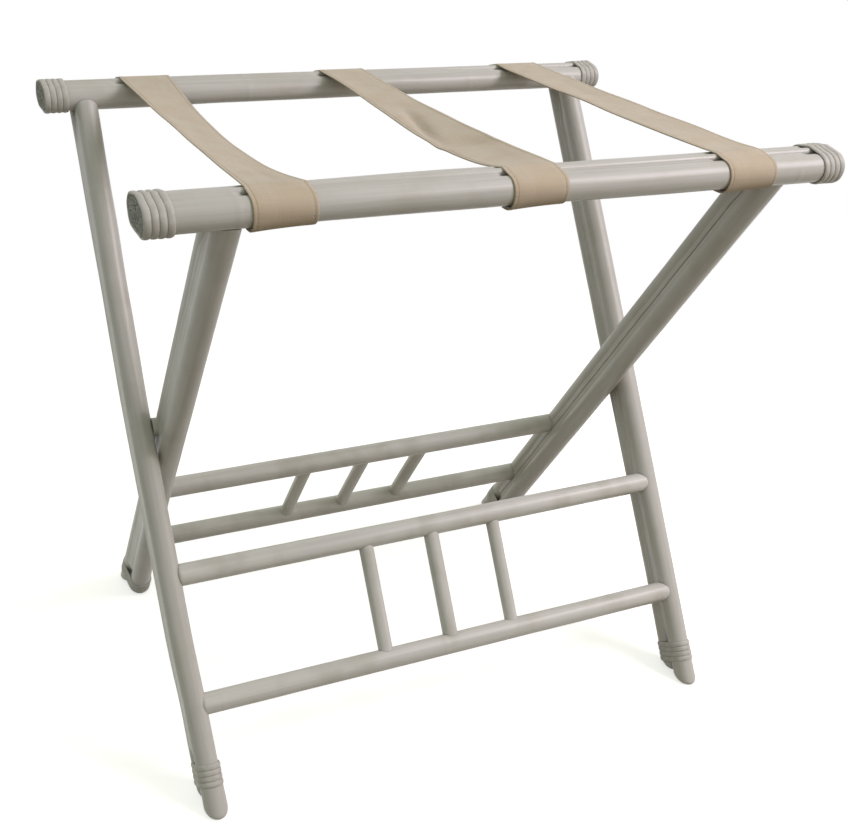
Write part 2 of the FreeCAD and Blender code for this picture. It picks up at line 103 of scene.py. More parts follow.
# How far each leg cane bows to the rack's right, by height from the pivot up the leg.
LEG_BOW = {
    ("outer", "left", "upper"): (
        (-0.379, 0.0036), (-0.290, 0.0020), (-0.200, 0.0), (0.010, -0.0009),
        (0.120, 0.0003), (0.229, 0.0022), (0.330, 0.0040),
    ),
    ("outer", "left", "under"): (
        (-0.379, 0.0030), (-0.290, 0.0018), (-0.200, -0.0006), (0.030, -0.0015),
        (0.180, 0.0001), (0.330, 0.0014),
    ),
    ("outer", "right", "upper"): (
        (-0.379, 0.0003), (-0.240, 0.0012), (0.060, 0.0015), (0.330, 0.0005),
    ),
    ("outer", "right", "under"): (
        (-0.379, 0.0004), (-0.240, 0.0018), (0.060, 0.0009), (0.330, 0.0005),
    ),
    ("inner", "left", "upper"): ((-0.379, -0.0012), (-0.240, -0.0006), (-0.080, 0.0)),
    ("inner", "left", "under"): ((-0.379, 0.0032), (-0.240, 0.0018), (-0.080, 0.0)),
    ("inner", "right", "upper"): ((-0.379, 0.0), (0.060, 0.0), (0.200, 0.0008)),
    ("inner", "right", "under"): ((-0.379, 0.0), (0.060, 0.0), (0.200, -0.0006)),
}

# How each rail cane differs from an even straight one, by place along the rail: the growth of
# its radius, and how far it lies outwards from the rack and up. -1 is the rail's inward cane.
RAIL_BOW = {
    ("outer", -1): (
        (-0.322, 0.0, 0.0, 0.0), (-0.230, 0.0, 0.0, 0.0), (-0.120, -0.0005, 0.0003, 0.0007),
        (0.322, -0.0006, 0.0003, 0.0010),
    ),
    ("outer", 1): (
        (-0.322, 0.0, 0.0, 0.0003), (-0.190, 0.0, 0.0, 0.0007), (0.0, 0.0, 0.0, 0.0002),
        (0.322, 0.0, 0.0, 0.0001),
    ),
    ("inner", -1): (
        (-0.322, 0.0, 0.0, 0.0009), (-0.200, 0.0, 0.0, 0.0012), (-0.090, 0.0, 0.0, 0.0020),
        (0.060, 0.0, 0.0, 0.0008), (0.322, 0.0, 0.0, 0.0001),
    ),
    ("inner", 1): (
        (-0.322, 0.0, 0.0, 0.0), (-0.170, 0.0, 0.0, 0.0008), (-0.040, 0.0001, 0.0001, 0.0002),
        (0.140, 0.0005, 0.0005, -0.0011), (0.322, 0.0009, 0.0009, -0.0018),
    ),
}

# Filler in the seam of each leg's pair of canes: how far it comes out towards the skin, and the
# depth and half width of the groove left along its middle.
LEG_SEAM = {
    ("outer", "left"): (0.0106, 0.0001, 0.0010),
    ("outer", "right"): (0.0090, 0.0008, 0.0012),
    ("inner", "left"): (0.0102, 0.0003, 0.0010),
    ("inner", "right"): (0.0100, 0.0011, 0.0008),
}

# Where along each rail the seams beside its reed turn from full to hollow.
SEAM_HOLLOW_RUN = {"outer": (-0.02, 0.25), "inner": (-0.16, 0.10)}

# How far the peel at the left foot of each frame sits above the level of the right one.
FOOT_PEEL_LIFT = {"outer": 0.0035, "inner": 0.0}

# Left and right end of each rail.
RAIL_ENDS = {"outer": (-0.3168, 0.3220), "inner": (-0.3240, 0.3172)}

# Each spindle's radius and how far it stands to the right of its even place.
SPINDLES = {
    ("outer", "left"): (0.0077, -0.0002),
    ("outer", "middle"): (0.0081, 0.0012),
    ("outer", "right"): (0.0071, 0.0015),
    ("inner", "left"): (0.0074, 0.0003),
    ("inner", "middle"): (0.0073, -0.0004),
    ("inner", "right"): (0.0078, 0.0002),
}

PEEL_TURNS = 4
PEEL_THICKNESS = 0.0025
PEEL_WANDER = 0.0010
RAIL_PEEL = {"Pitch": 0.0057, "Width": 0.0061, "proud": 0.0019}
FOOT_PEEL = {"Pitch": 0.0055, "Width": 0.0061, "proud": 0.0013}
# How far foot peel can reach beyond the under cane, and how far it stays off the floor.
FOOT_PEEL_REACH = 0.0017
FLOOR_GAP = 0.001

STRAP_WIDTH = 0.051
STRAP_THICKNESS = 0.0011
HEM_WIDTH = 0.0075
HEM_STITCH_INSET = 0.0032
# Between a strap's underside and the canes it bears on.
STRAP_GAP = 0.00035
# How far outwards from the middle of a rail's underside a strap ends, and the rows up to there.
STRAP_TAIL, TAIL_ROWS = 0.0065, 3
SPAN_ROWS = 90
STITCH_PITCH, STITCH_LENGTH, STITCH_WIDTH = 0.0034, 0.0028, 0.00055
TACK_PITCH, TACK_RADIUS, TACK_RISE = 0.0105, 0.0034, 0.0011

# --------------------------------------------------------------------------- nodes and colour


def srgb(text):
    """Linear colour of an sRGB hex value."""
    channels = [int(text[i : i + 2], 16) / 255 for i in (1, 3, 5)]
    return (*[c / 12.92 if c <= 0.04045 else ((c + 0.055) / 1.055) ** 2.4 for c in channels], 1.0)


def add(tree, kind, *given, **named):
    """Add a node to a tree, with its settings and links.

    Given values fill its open inputs in order. A named value with a capital letter sets the
    input of that name, with underscores for spaces, and any other sets one of the node's
    settings. A node that is given as a value stands for its first open output.
    """
    names = [f"{family}Node{kind}" for family in ("Shader", "Geometry", "Function")]
    node = tree.nodes.new(next(name for name in names if hasattr(bpy.types, name)))
    for name, value in named.items():
        if name[0].islower():
            setattr(node, name, value)
    pairs = list(zip([socket for socket in node.inputs if socket.enabled], given))
    for name, value in named.items():
        if name[0].isupper():
            sockets = [s for s in node.inputs if s.name == name.replace("_", " ") and s.enabled]
            pairs.append((sockets[0], value))
    for socket, value in pairs:
        if isinstance(value, bpy.types.Node):
            value = next(output for output in value.outputs if output.enabled)
        if isinstance(value, bpy.types.NodeSocket):
            tree.links.new(value, socket)
        else:
            socket.default_value = value
    return node


def new_material(name):
    """Material of that name with an empty tree."""
    material = bpy.data.materials.new(name)
    material.use_nodes = True
    material.node_tree.nodes.clear()
    return material, material.node_tree


# --------------------------------------------------------------------------------- materials

# Turns that bring a cane's own length onto Z: legs and spindles of each frame, and cross poles.
CANE_TURNS = {
    "outer": (LEAN, 0.0, 0.0),
    "inner": (-LEAN, 0.0, math.pi),
    "cross": (0.0, -math.pi / 2, 0.0),
}


def painted_rattan(name, turn, low, high):
    """Satin alkyd paint brushed by hand along a rattan cane.

    The eye sees a soft broad sheen, faint brush lines along the cane, a thicker or thinner coat
    here and there, low rings of the cane, and painted shade in the seams between canes.
    """
    material, tree = new_material(name)
    place = add(tree, "TexCoord").outputs["Object"]
    cane = add(tree, "Mapping", place, Rotation=turn)
    # Brush lines 1.2 mm apart that run for about 80 mm.
    lines = add(tree, "Mapping", cane, Scale=(830, 830, 12))
    brush = add(tree, "TexNoise", lines, Scale=1.0, Detail=3.0)
    # Broad strokes 6 mm wide and 200 mm long, where the coat is thicker or thinner.
    strokes = add(tree, "Mapping", cane, Scale=(170, 170, 5))
    coat = add(tree, "TexNoise", strokes, Scale=1.0, Detail=2.0)
    patches = add(tree, "TexNoise", place, Scale=22.0, Detail=3.0)

    # Rings of the cane, 150 to 300 mm apart, at other heights on each cane.
    parts = add(tree, "SeparateXYZ", cane)
    side = add(tree, "Math", parts.outputs[0], operation="SIGN")
    shift = add(tree, "Math", side, 1.37, operation="MULTIPLY")
    under = add(tree, "Math", parts.outputs[1], 0.0108, operation="GREATER_THAN")
    height = add(tree, "Math", parts.outputs[2], 4.3, shift, operation="MULTIPLY_ADD")
    height = add(tree, "Math", under, 2.61, height, operation="MULTIPLY_ADD")
    rings = add(
        tree, "TexVoronoi", voronoi_dimensions="1D", feature="DISTANCE_TO_EDGE",
        W=height, Scale=1.0, Randomness=0.75,
    )
    ridge = add(tree, "MapRange", rings, 0.0, 0.02, 1.0, 0.0, interpolation_type="SMOOTHSTEP")

    shade = add(tree, "Mix", 0.35, coat, brush, data_type="FLOAT")
    shade = add(tree, "MapRange", shade, 0.35, 0.65, 0.0, 1.0)
    colour = add(tree, "Mix", shade, srgb(low), srgb(high), data_type="RGBA")
    dull = add(tree, "MapRange", patches, 0.45, 0.70, 0.0, 0.6, interpolation_type="SMOOTHSTEP")
    colour = add(tree, "Mix", dull, colour, srgb("#bebab2"), data_type="RGBA")
    # Painted shade: darker where ambient occlusion finds a neighbour within 5 mm.
    seam = add(tree, "AmbientOcclusion", samples=6, Distance=0.005)
    seam_shade = add(tree, "MapRange", seam.outputs["AO"], 0.15, 0.80, 0.50, 0.0)
    colour = add(tree, "Mix", seam_shade, colour, srgb("#63605a"), data_type="RGBA")

    relief = 0.0
    for part, depth in ((brush, 0.00006), (coat, 0.00020), (ridge, 0.00022)):
        relief = add(tree, "Math", part, depth, relief, operation="MULTIPLY_ADD")
    bump = add(tree, "Bump", Height=relief, Distance=1.0, Strength=0.8)
    gloss = add(tree, "MapRange", coat, 0.3, 0.7, 0.30, 0.46)
    shader = add(
        tree, "BsdfPrincipled", Base_Color=colour, Roughness=gloss, IOR=1.5,
        Specular_IOR_Level=0.5, Normal=bump,
    )
    add(tree, "OutputMaterial", shader)
    return material


def painted_peel():
    """Rattan peel, split to bands 6 mm wide and painted with the canes.

    The eye sees long fibres that run round the band, and painted shade in the grooves.
    """
    material, tree = new_material("satin_paint_on_split_rattan_peel")
    along = add(tree, "Attribute", attribute_name="peel_along").outputs["Fac"]
    across = add(tree, "Attribute", attribute_name="peel_across").outputs["Fac"]
    place = add(tree, "TexCoord").outputs["Object"]
    # Fibres 0.6 mm apart and 30 mm long, coarser than the real 0.2 mm so that they show.
    run = add(tree, "Math", along, 40.0, operation="MULTIPLY")
    rows = add(tree, "Math", across, 14.0, operation="MULTIPLY")
    spot = add(tree, "CombineXYZ", run, rows)
    fibres = add(tree, "TexNoise", spot, Scale=1.0, Detail=3.0)
    patches = add(tree, "TexNoise", place, Scale=160.0, Detail=2.0)
    shade = add(tree, "Mix", 0.4, patches, fibres, data_type="FLOAT")
    shade = add(tree, "MapRange", shade, 0.3, 0.7, 0.0, 1.0)
    colour = add(tree, "Mix", shade, srgb("#b8b5b0"), srgb("#cecbc7"), data_type="RGBA")
    # Painted shade: darker where ambient occlusion finds a neighbour within 4 mm.
    seam = add(tree, "AmbientOcclusion", samples=6, Distance=0.004)
    seam_shade = add(tree, "MapRange", seam.outputs["AO"], 0.35, 0.9, 0.8, 0.0)
    colour = add(tree, "Mix", seam_shade, colour, srgb("#65625b"), data_type="RGBA")
    relief = 0.0
    for part, depth in ((fibres, 0.00016), (patches, 0.0003)):
        relief = add(tree, "Math", part, depth, relief, operation="MULTIPLY_ADD")
    bump = add(tree, "Bump", Height=relief, Distance=1.0, Strength=0.7)
    shader = add(
        tree, "BsdfPrincipled", Base_Color=colour, Roughness=0.52, IOR=1.5,
        Specular_IOR_Level=0.5, Normal=bump,
    )
    add(tree, "OutputMaterial", shader)
    return material


def sawn_end_grain():
    """Sawn cane ends clogged with paint: coarse, dark and pitted, with hardly any sheen."""
    material, tree = new_material("sawn_rattan_end_clogged_with_paint")
    place = add(tree, "TexCoord").outputs["Object"]
    # Vessels of the cane, 0.4 mm wide, drawn at 1.3 mm so that they show.
    vessels = add(tree, "TexVoronoi", place, Scale=760.0)
    clumps = add(tree, "TexNoise", place, Scale=330.0, Detail=5.0, Roughness=0.7)
    pit = add(tree, "MapRange", vessels, 0.1, 0.6, 0.0, 1.0)
    shade = add(tree, "Mix", 0.68, pit, clumps, data_type="FLOAT")
    shade = add(tree, "MapRange", shade, 0.32, 0.70, 0.0, 1.0)
    colour = add(tree, "Mix", shade, srgb("#565852"), srgb("#bebfb9"), data_type="RGBA")
    relief = add(tree, "Math", shade, 0.0010, operation="MULTIPLY")
    bump = add(tree, "Bump", Height=relief, Distance=1.0, Strength=0.9)
    shader = add(tree, "BsdfPrincipled", Base_Color=colour, Roughness=0.85, IOR=1.45, Normal=bump)
    add(tree, "OutputMaterial", shader)
    return material


def cotton_canvas():
    """Plain-woven unbleached cotton canvas.

    The eye sees a matt cloth with thicker threads here and there in both directions, soft
    worn patches, and a slight halo of fibres. The UV map is in metres, across and along.
    """
    material, tree = new_material("woven_unbleached_cotton_canvas")
    spot = add(tree, "UVMap", uv_map="UVMap")
    parts = add(tree, "SeparateXYZ", spot)
    across, along = parts.outputs[0], parts.outputs[1]
    # Threads 0.5 mm apart, drawn 0.9 mm apart so that they show.
    threads = []
    for way in (across, along):
        turns = add(tree, "Math", way, math.tau / 0.0018, operation="MULTIPLY")
        threads.append(add(tree, "Math", turns, operation="SINE"))
    weave = add(tree, "Math", *threads, operation="MULTIPLY")
    # Slubs: thicker threads that run on for 20 mm or more, each way.
    thick = []
    for scale in ((700, 26, 1), (26, 700, 1)):
        drawn_out = add(tree, "Mapping", spot, Scale=scale)
        thick.append(add(tree, "TexNoise", drawn_out, Scale=1.0, Detail=2.0))
    slubs = add(tree, "Math", *thick, operation="ADD")
    patches = add(tree, "TexNoise", spot, Scale=38.0, Detail=4.0)
    # Pucker along the hem's stitches.
    centred = add(tree, "Math", across, operation="ABSOLUTE")
    from_edge = add(tree, "Math", STRAP_WIDTH / 2, centred, operation="SUBTRACT")
    from_seam = add(tree, "Math", from_edge, HEM_STITCH_INSET, operation="SUBTRACT")
    from_seam = add(tree, "Math", from_seam, operation="ABSOLUTE")
    pucker = add(tree, "MapRange", from_seam, 0.0, 0.0011, 1.0, 0.0)

    shade = add(tree, "MapRange", slubs, 0.70, 1.30, 0.0, 1.0)
    colour = add(tree, "Mix", shade, srgb("#d0c1b0"), srgb("#dcd0c3"), data_type="RGBA")
    worn_and_front_wrap = add(tree, "MapRange", patches, 0.40, 0.68, 0.0, 0.55)
    # Darker and browner where it lies over the front rail.
    over_front_rail = add(tree, "MapRange", along, 0.445, 0.475, 0.0, 0.45, interpolation_type="SMOOTHSTEP")
    worn_and_front_wrap = add(tree, "Math", worn_and_front_wrap, over_front_rail, operation="ADD", use_clamp=True)
    colour = add(tree, "Mix", worn_and_front_wrap, colour, srgb("#cebba5"), data_type="RGBA")
    # Painted shade in the hollows of the weave and along the pucker of the hem's stitches.
    weave_shade = add(tree, "MapRange", weave, -1.0, 1.0, 0.10, 0.0)
    weave_shade = add(tree, "Math", pucker, 0.14, weave_shade, operation="MULTIPLY_ADD")
    colour = add(tree, "Mix", weave_shade, colour, srgb("#8c7a5f"), data_type="RGBA")
    relief = 0.0
    depths = ((weave, 0.00006), (slubs, 0.00014), (pucker, -0.00025), (patches, 0.0010))
    for part, depth in depths:
        relief = add(tree, "Math", part, depth, relief, operation="MULTIPLY_ADD")
    bump = add(tree, "Bump", Height=relief, Distance=1.0, Strength=0.7)
    shader = add(
        tree, "BsdfPrincipled", Base_Color=colour, Roughness=0.92, IOR=1.45, Normal=bump,
        Sheen_Weight=0.2, Sheen_Roughness=0.5,
    )
    add(tree, "OutputMaterial", shader)
    return material


def cotton_thread():
    """Twisted cotton sewing thread: matt, with ply lines across it."""
    material, tree = new_material("twisted_cotton_thread")
    place = add(tree, "TexCoord").outputs["Object"]
    ply = add(tree, "TexNoise", place, Scale=1800.0, Detail=1.0)
    colour = add(tree, "Mix", ply, srgb("#b3a58b"), srgb("#d3c8b4"), data_type="RGBA")
    shader = add(tree, "BsdfPrincipled", Base_Color=colour, Roughness=0.8, IOR=1.45)
    add(tree, "OutputMaterial", shader)
    return material


def zinc_plated_steel():
    """Zinc-plated steel with a satin bloom, brighter and duller in small clouds."""
    material, tree = new_material("zinc_plated_steel_satin")
    place = add(tree, "TexCoord").outputs["Object"]
    bloom = add(tree, "TexNoise", place, Scale=420.0, Detail=3.0)
    colour = add(tree, "Mix", bloom, srgb("#a9abab"), srgb("#c9cac7"), data_type="RGBA")
    dull = add(tree, "MapRange", bloom, 0.3, 0.7, 0.28, 0.45)
    shader = add(tree, "BsdfPrincipled", Base_Color=colour, Metallic=1.0, Roughness=dull)
    add(tree, "OutputMaterial", shader)
    return material


def painted_nylon():
    """Turned nylon washer caught by the paint brush: even, low in sheen, with fine turning."""
    material, tree = new_material("turned_nylon_under_paint")
    place = add(tree, "TexCoord").outputs["Object"]
    turned = add(tree, "TexNoise", place, Scale=500.0, Detail=2.0)
    colour = add(tree, "Mix", turned, srgb("#b3afa8"), srgb("#c8c5be"), data_type="RGBA")
    bump = add(tree, "Bump", Height=turned, Distance=0.0002, Strength=0.5)
    shader = add(tree, "BsdfPrincipled", Base_Color=colour, Roughness=0.5, IOR=1.53, Normal=bump)
    add(tree, "OutputMaterial", shader)
    return material


# Which way the canes of each kind run, and the darkest and palest of their coat. That of the
# stretchers and spindles is paler: painted light, lit copies of the same paint, palest on the
# inner spindles.
COATS = {
    "outer_legs": ("outer", "#c2bfbb", "#d0cdca"),
    "inner_legs": ("inner", "#c2bfbb", "#d0cdca"),
    "rails": ("cross", "#c2bfbb", "#d0cdca"),
    "stretchers": ("cross", "#cecbc8", "#dcdad7"),
    "outer_spindles": ("outer", "#cecbc8", "#dcdad7"),
    "inner_spindles": ("inner", "#d6d3ce", "#e4e1dc"),
}
PAINT = {
    canes: painted_rattan(f"satin_paint_on_{canes}", CANE_TURNS[way], low, high)
    for canes, (way, low, high) in COATS.items()
}
PEEL = painted_peel()
END_GRAIN = sawn_end_grain()
CANVAS = cotton_canvas()
THREAD = cotton_thread()
ZINC = zinc_plated_steel()
NYLON = painted_nylon()

# ---------------------------------------------------------------------------- making of pieces


def new_piece(name, vertices, edges=(), faces=()):
    """New mesh object at the origin."""
    mesh = bpy.data.meshes.new(name)
    mesh.from_pydata([tuple(v) for v in vertices], list(edges), list(faces))
    piece = bpy.data.objects.new(name, mesh)
    bpy.context.scene.collection.objects.link(piece)
    return piece


def new_tree(name, **inputs):
    """Geometry tree with named inputs. Returns the tree and its input and output nodes."""
    tree = bpy.data.node_groups.new(name, "GeometryNodeTree")
    tree.interface.new_socket("Geometry", in_out="INPUT", socket_type="NodeSocketGeometry")
    for label, kind in inputs.items():
        tree.interface.new_socket(label, in_out="INPUT", socket_type=f"NodeSocket{kind}")
    tree.interface.new_socket("Geometry", in_out="OUTPUT", socket_type="NodeSocketGeometry")
    return tree, tree.nodes.new("NodeGroupInput"), tree.nodes.new("NodeGroupOutput")


def keep_result(piece):
    """Make the result of a piece's modifiers its mesh, and take them off."""
    graph = bpy.context.evaluated_depsgraph_get()
    made = bpy.data.meshes.new_from_object(piece.evaluated_get(graph))
    piece.modifiers.clear()
    old = piece.data
    piece.data = made
    bpy.data.meshes.remove(old)
    made.name = piece.name


def run_tree(piece, tree, values):
    """Run a geometry tree on a piece with the given inputs and keep its result."""
    modifier = piece.modifiers.new("making", "NODES")
    modifier.node_group = tree
    for item in tree.interface.items_tree:
        if item.in_out == "INPUT" and item.name in values:
            modifier[item.identifier] = values[item.name]
    keep_result(piece)


def face_outwards(piece, smooth=None):
    """Turn a closed piece's faces outwards and shade it smooth up to an angle."""
    shell = bmesh.new()
    shell.from_mesh(piece.data)
    bmesh.ops.remove_doubles(shell, verts=shell.verts, dist=0.000001)
    bmesh.ops.recalc_face_normals(shell, faces=shell.faces)
    shell.to_mesh(piece.data)
    shell.free()
    if smooth is not None:
        shade_smooth(piece, smooth)
    return piece


def shade_smooth(piece, degrees):
    """Shade a piece smooth, with edges left sharp where it turns by more than an angle."""
    for polygon in piece.data.polygons:
        polygon.use_smooth = True
    piece.data.set_sharp_from_angle(angle=math.radians(degrees))


def tube_faces(first, rows, count):
    """Faces of a closed tube through rows of points, with a cap at each end."""
    faces = []
    for row in range(rows - 1):
        for k in range(count):
            a, b = first + row * count + k, first + row * count + (k + 1) % count
            faces.append((a, b, b + count, a + count))
    faces.append([first + k for k in range(count)])
    faces.append([first + (rows - 1) * count + k for k in range(count)])
    return faces


def smooth_step(low, high, number):
    """0 below low, 1 above high, and smooth between."""
    t = min(1.0, max(0.0, (number - low) / (high - low)))
    return t * t * (3 - 2 * t)


def between(knots, spot):
    """Values at a place, eased between knots that are each (place, value, ...)."""
    for start, end in zip(knots, knots[1:]):
        if spot <= end[0]:
            ease = smooth_step(start[0], end[0], spot)
            return [a + (b - a) * ease for a, b in zip(start[1:], end[1:])]
    return list(knots[-1][1:])


def frame_place(side):
    """Matrix that takes a leaning frame's own coordinates to the rack's."""
    half_turn = 0.0 if side == "outer" else math.pi
    place = Matrix.Translation((0, 0, PIVOT_HEIGHT)) @ Matrix.Rotation(half_turn, 4, "Z")
    return place @ Matrix.Rotation(-LEAN, 4, "X")


def rail_point(side, x, spot):
    """Place of a point of a rail's section, which is given outwards from the rack and up."""
    return Vector((x, RAIL_SIDE[side] * (RAIL_Y + spot[0]), RAIL_HEIGHT + spot[1]))


# ------------------------------------------------------------------------------------- canes

# How finely canes, and the cutters that cope them, are divided.
CANE_SIDES, CUTTER_SIDES = 48, 64
LEG_RINGS, RAIL_RINGS, STRETCHER_RINGS, SPINDLE_RINGS = 60, 90, 44, 16


def dome(radius, rise, fullness=2.4, steps=9):
    """Rings of a rounded cane end: how far each lies below the tip, and its radius."""
    rings = []
    for k in range(1, steps + 1):
        up = math.cos(math.pi / 2 * k / steps)
        rings.append((rise * (1 - up), radius * (1 - up**fullness) ** (1 / fullness)))
    return rings


def cane(name, place, rings, seed, bow=None):
    """Closed cane along its own Z through rings of (height, radius, tilt).

    The skin of a thick cane wavers a little, as a peeled cane's does. The tilt of a ring is the
    slope of its plane along the cane's own Y. The bow gives the middle line's own X and Y at a
    height.
    """
    vertices = []
    for height, radius, tilt in rings:
        aside, across = bow(height) if bow else (0.0, 0.0)
        for k in range(CANE_SIDES):
            angle = math.tau * k / CANE_SIDES
            x, y = math.cos(angle), math.sin(angle)
            waver = noise.noise(Vector((x * 0.7, y * 0.7 + seed, height * 24))) * CANE_WAVER
            grown = radius + (waver if radius > 0.008 else 0.0)
            spot = Vector((aside + grown * x, across + grown * y, height + tilt * grown * y))
            vertices.append(place @ spot)
    faces = tube_faces(0, len(rings), CANE_SIDES)
    return face_outwards(new_piece(name, vertices, faces=faces))


def cope(piece, lines, radius):
    """Cut a piece to fit round canes whose middle lines are given."""
    vertices, faces = [], []
    for start, end in lines:
        faces += tube_faces(len(vertices), 2, CUTTER_SIDES)
        turn = (end - start).to_track_quat("Z", "Y").to_matrix()
        for spot in (start, end):
            for k in range(CUTTER_SIDES):
                angle = math.tau * k / CUTTER_SIDES
                arm = Vector((math.cos(angle), math.sin(angle), 0)) * radius
                vertices.append(spot + turn @ arm)
    cutter = face_outwards(new_piece("cutter", vertices, faces=faces))
    cut = piece.modifiers.new("cope", "BOOLEAN")
    cut.operation = "DIFFERENCE"
    cut.solver = "EXACT"
    cut.object = cutter
    keep_result(piece)
    mesh = cutter.data
    bpy.data.objects.remove(cutter)
    bpy.data.meshes.remove(mesh)
    face_outwards(piece, smooth=32)


def finish_cane(piece, side, finish, replaced):
    """Paint a cane, let it stand for its solid and ride with its frame."""
    piece.data.materials.clear()
    piece.data.materials.append(finish)
    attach(piece, BODY[side])
    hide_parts(replaced)


def leg_bow(side, hand, level, height):
    """Own X and Y of a leg cane's middle line, from where the leg stands."""
    (right,) = between(LEG_BOW[side, hand, level], height)
    return (right if side == "outer" else -right), 0.0


def leg_place(side, hand, across):
    """Matrix of a leg cane's own coordinates."""
    right = 1 if (hand == "right") == (side == "outer") else -1
    return frame_place(side) @ Matrix.Translation((right * LEG_X[side], across, 0))


def rail_lines(side):
    """Middle lines of a rail's two canes, a little longer than they are."""
    lines = []
    for back in (-RAIL_HALF_GAUGE, RAIL_HALF_GAUGE):
        spot = (RAIL_SIDE[side] * back, 0.0)
        lines.append([rail_point(side, x, spot) for x in (-0.33, 0.33)])
    return lines


def toe_rings(radius, rounding, across):
    """Rings of a toe that is worn round and flat on the floor."""
    rings = []
    for k in range(9):
        turn = math.pi / 2 * k / 8
        height = rounding * (1 - math.cos(turn)) / math.cos(LEAN)
        inset = rounding * (1 - math.sin(turn))
        rings.append((height + across * SLOPE - FLOOR_DROP, radius - inset, SLOPE))
    return rings


def leg_cane(side, hand, level, across, rings, seed):
    """Cane of a leg through its rings, coped round the rail."""
    piece = cane(
        f"{side}_leg_{hand}_{level}_cane", leg_place(side, hand, across), rings, seed,
        lambda height: leg_bow(side, hand, level, height),
    )
    cope(piece, rail_lines(side), RAIL_RADIUS + COPE_GAP)
    finish_cane(piece, side, PAINT[f"{side}_legs"], f"{side}_leg_{hand}_{level}_pole")


def upper_leg_cane(side, hand, seed):
    """Upper cane of a leg: worn round and flat at the toe, rounded and coped at the rail."""
    rings = toe_rings(LEG_RADIUS + TOE_SWELL, TOE_ROUNDING, 0.0)
    head = LEG_HEAD[side, hand]
    low, high = rings[-1][0], head - LEG_HEAD_DOME
    for k in range(1, LEG_RINGS):
        share = k / LEG_RINGS
        swell = TOE_SWELL * max(0.0, 1 - k / 4)
        # The rings turn from level to square over the first ninth of the cane.
        tilt = SLOPE * max(0.0, 1 - share * 9)
        rings.append((low + (high - low) * share, LEG_RADIUS + swell, tilt))
    for drop, radius in reversed(dome(LEG_RADIUS, LEG_HEAD_DOME)):
        rings.append((head - drop, radius, 0.0))
    leg_cane(side, hand, "upper", 0.0, rings, seed)


def under_leg_cane(side, hand, seed):
    """Under cane of a leg: worn round at the toe, and cut level and coped under the rail."""
    gauge, radius = PAIR_GAUGE[side], UNDER_RADIUS[side]
    rings = toe_rings(radius, radius * 0.8, gauge)
    low = rings[-1][0]
    high = (UNDER_LEG_TOP - PIVOT_HEIGHT) / math.cos(LEAN) + gauge * SLOPE
    for k in range(1, LEG_RINGS + 1):
        share = k / LEG_RINGS
        # And back to level over the last ninth.
        tilt = SLOPE * max(0.0, 1 - share * 9, share * 9 - 8)
        rings.append((low + (high - low) * share, radius, tilt))
    leg_cane(side, hand, "under", gauge, rings, seed)


def stretcher_cane(side, level, seed):
    """Cross cane between two legs: coped to both, with a rounded lap at each end."""
    node = f"{side}_{level}_stretcher"
    middle = stretcher_middle(side, level)
    reach = LEG_X[side]
    left, right = STRETCHER_LAPS
    rings = [(d + left[0] - reach, r, 0.0) for d, r in dome(STRETCHER_RADIUS, left[1], 2.6)]
    first, last = left[0] + left[1] - reach, reach - right[0] - right[1]
    for k in range(1, STRETCHER_RINGS):
        rings.append((first + (last - first) * k / STRETCHER_RINGS, STRETCHER_RADIUS, 0.0))
    for drop, radius in reversed(dome(STRETCHER_RADIUS, right[1], 2.6)):
        rings.append((reach - right[0] - drop, radius, 0.0))
    place = Matrix.Translation((0, middle.y, middle.z)) @ Matrix.Rotation(math.pi / 2, 4, "Y")
    piece = cane(f"{node}_cane", place, rings, seed)
    # The legs from near the floor up to the pivot.
    own = frame_place(side)
    lines = [[own @ Vector((x, 0, z)) for z in (-0.37, 0.0)] for x in (-reach, reach)]
    cope(piece, lines, LEG_RADIUS + COPE_GAP)
    finish_cane(piece, side, PAINT["stretchers"], node)


def stretcher_middle(side, level):
    """Middle of a stretcher."""
    low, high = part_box(f"{side}_{level}_stretcher")
    return (Vector(low) + Vector(high)) / 2


def spindle_cane(side, name, seed):
    """Upright between the two stretchers, coped to both."""
    node = f"{side}_spindle_{name}"
    low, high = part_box(node)
    radius, right = SPINDLES[side, name]
    start, end = stretcher_middle(side, "lower"), stretcher_middle(side, "upper")
    place = Matrix.Translation(((low[0] + high[0]) / 2 + right, start.y, start.z))
    place = place @ frame_place(side).to_3x3().to_4x4()
    length = (end - start).length
    rings = [(length * k / SPINDLE_RINGS, radius, 0.0) for k in range(SPINDLE_RINGS + 1)]
    piece = cane(f"{node}_cane", place, rings, seed)
    lines = [[middle + Vector((x, 0, 0)) for x in (-0.2, 0.2)] for middle in (start, end)]
    cope(piece, lines, STRETCHER_RADIUS + COPE_GAP)
    finish_cane(piece, side, PAINT[f"{side}_spindles"], node)


def rail_circles(side, x):
    """Section of a rail at a place along it: its canes and reed as (centre, radius).

    X points outwards from the rack and Y up.
    """
    circles = []
    for inward in (-1, 1):
        growth, outwards, up = between(RAIL_BOW[side, inward], x)
        centre = Vector((inward * RAIL_HALF_GAUGE + outwards, up))
        circles.append((centre, RAIL_RADIUS + growth))
    middle = (circles[0][0] + circles[1][0]) / 2
    circles.append((middle + Vector((0, REED_RISE)), REED_RADIUS))
    return circles


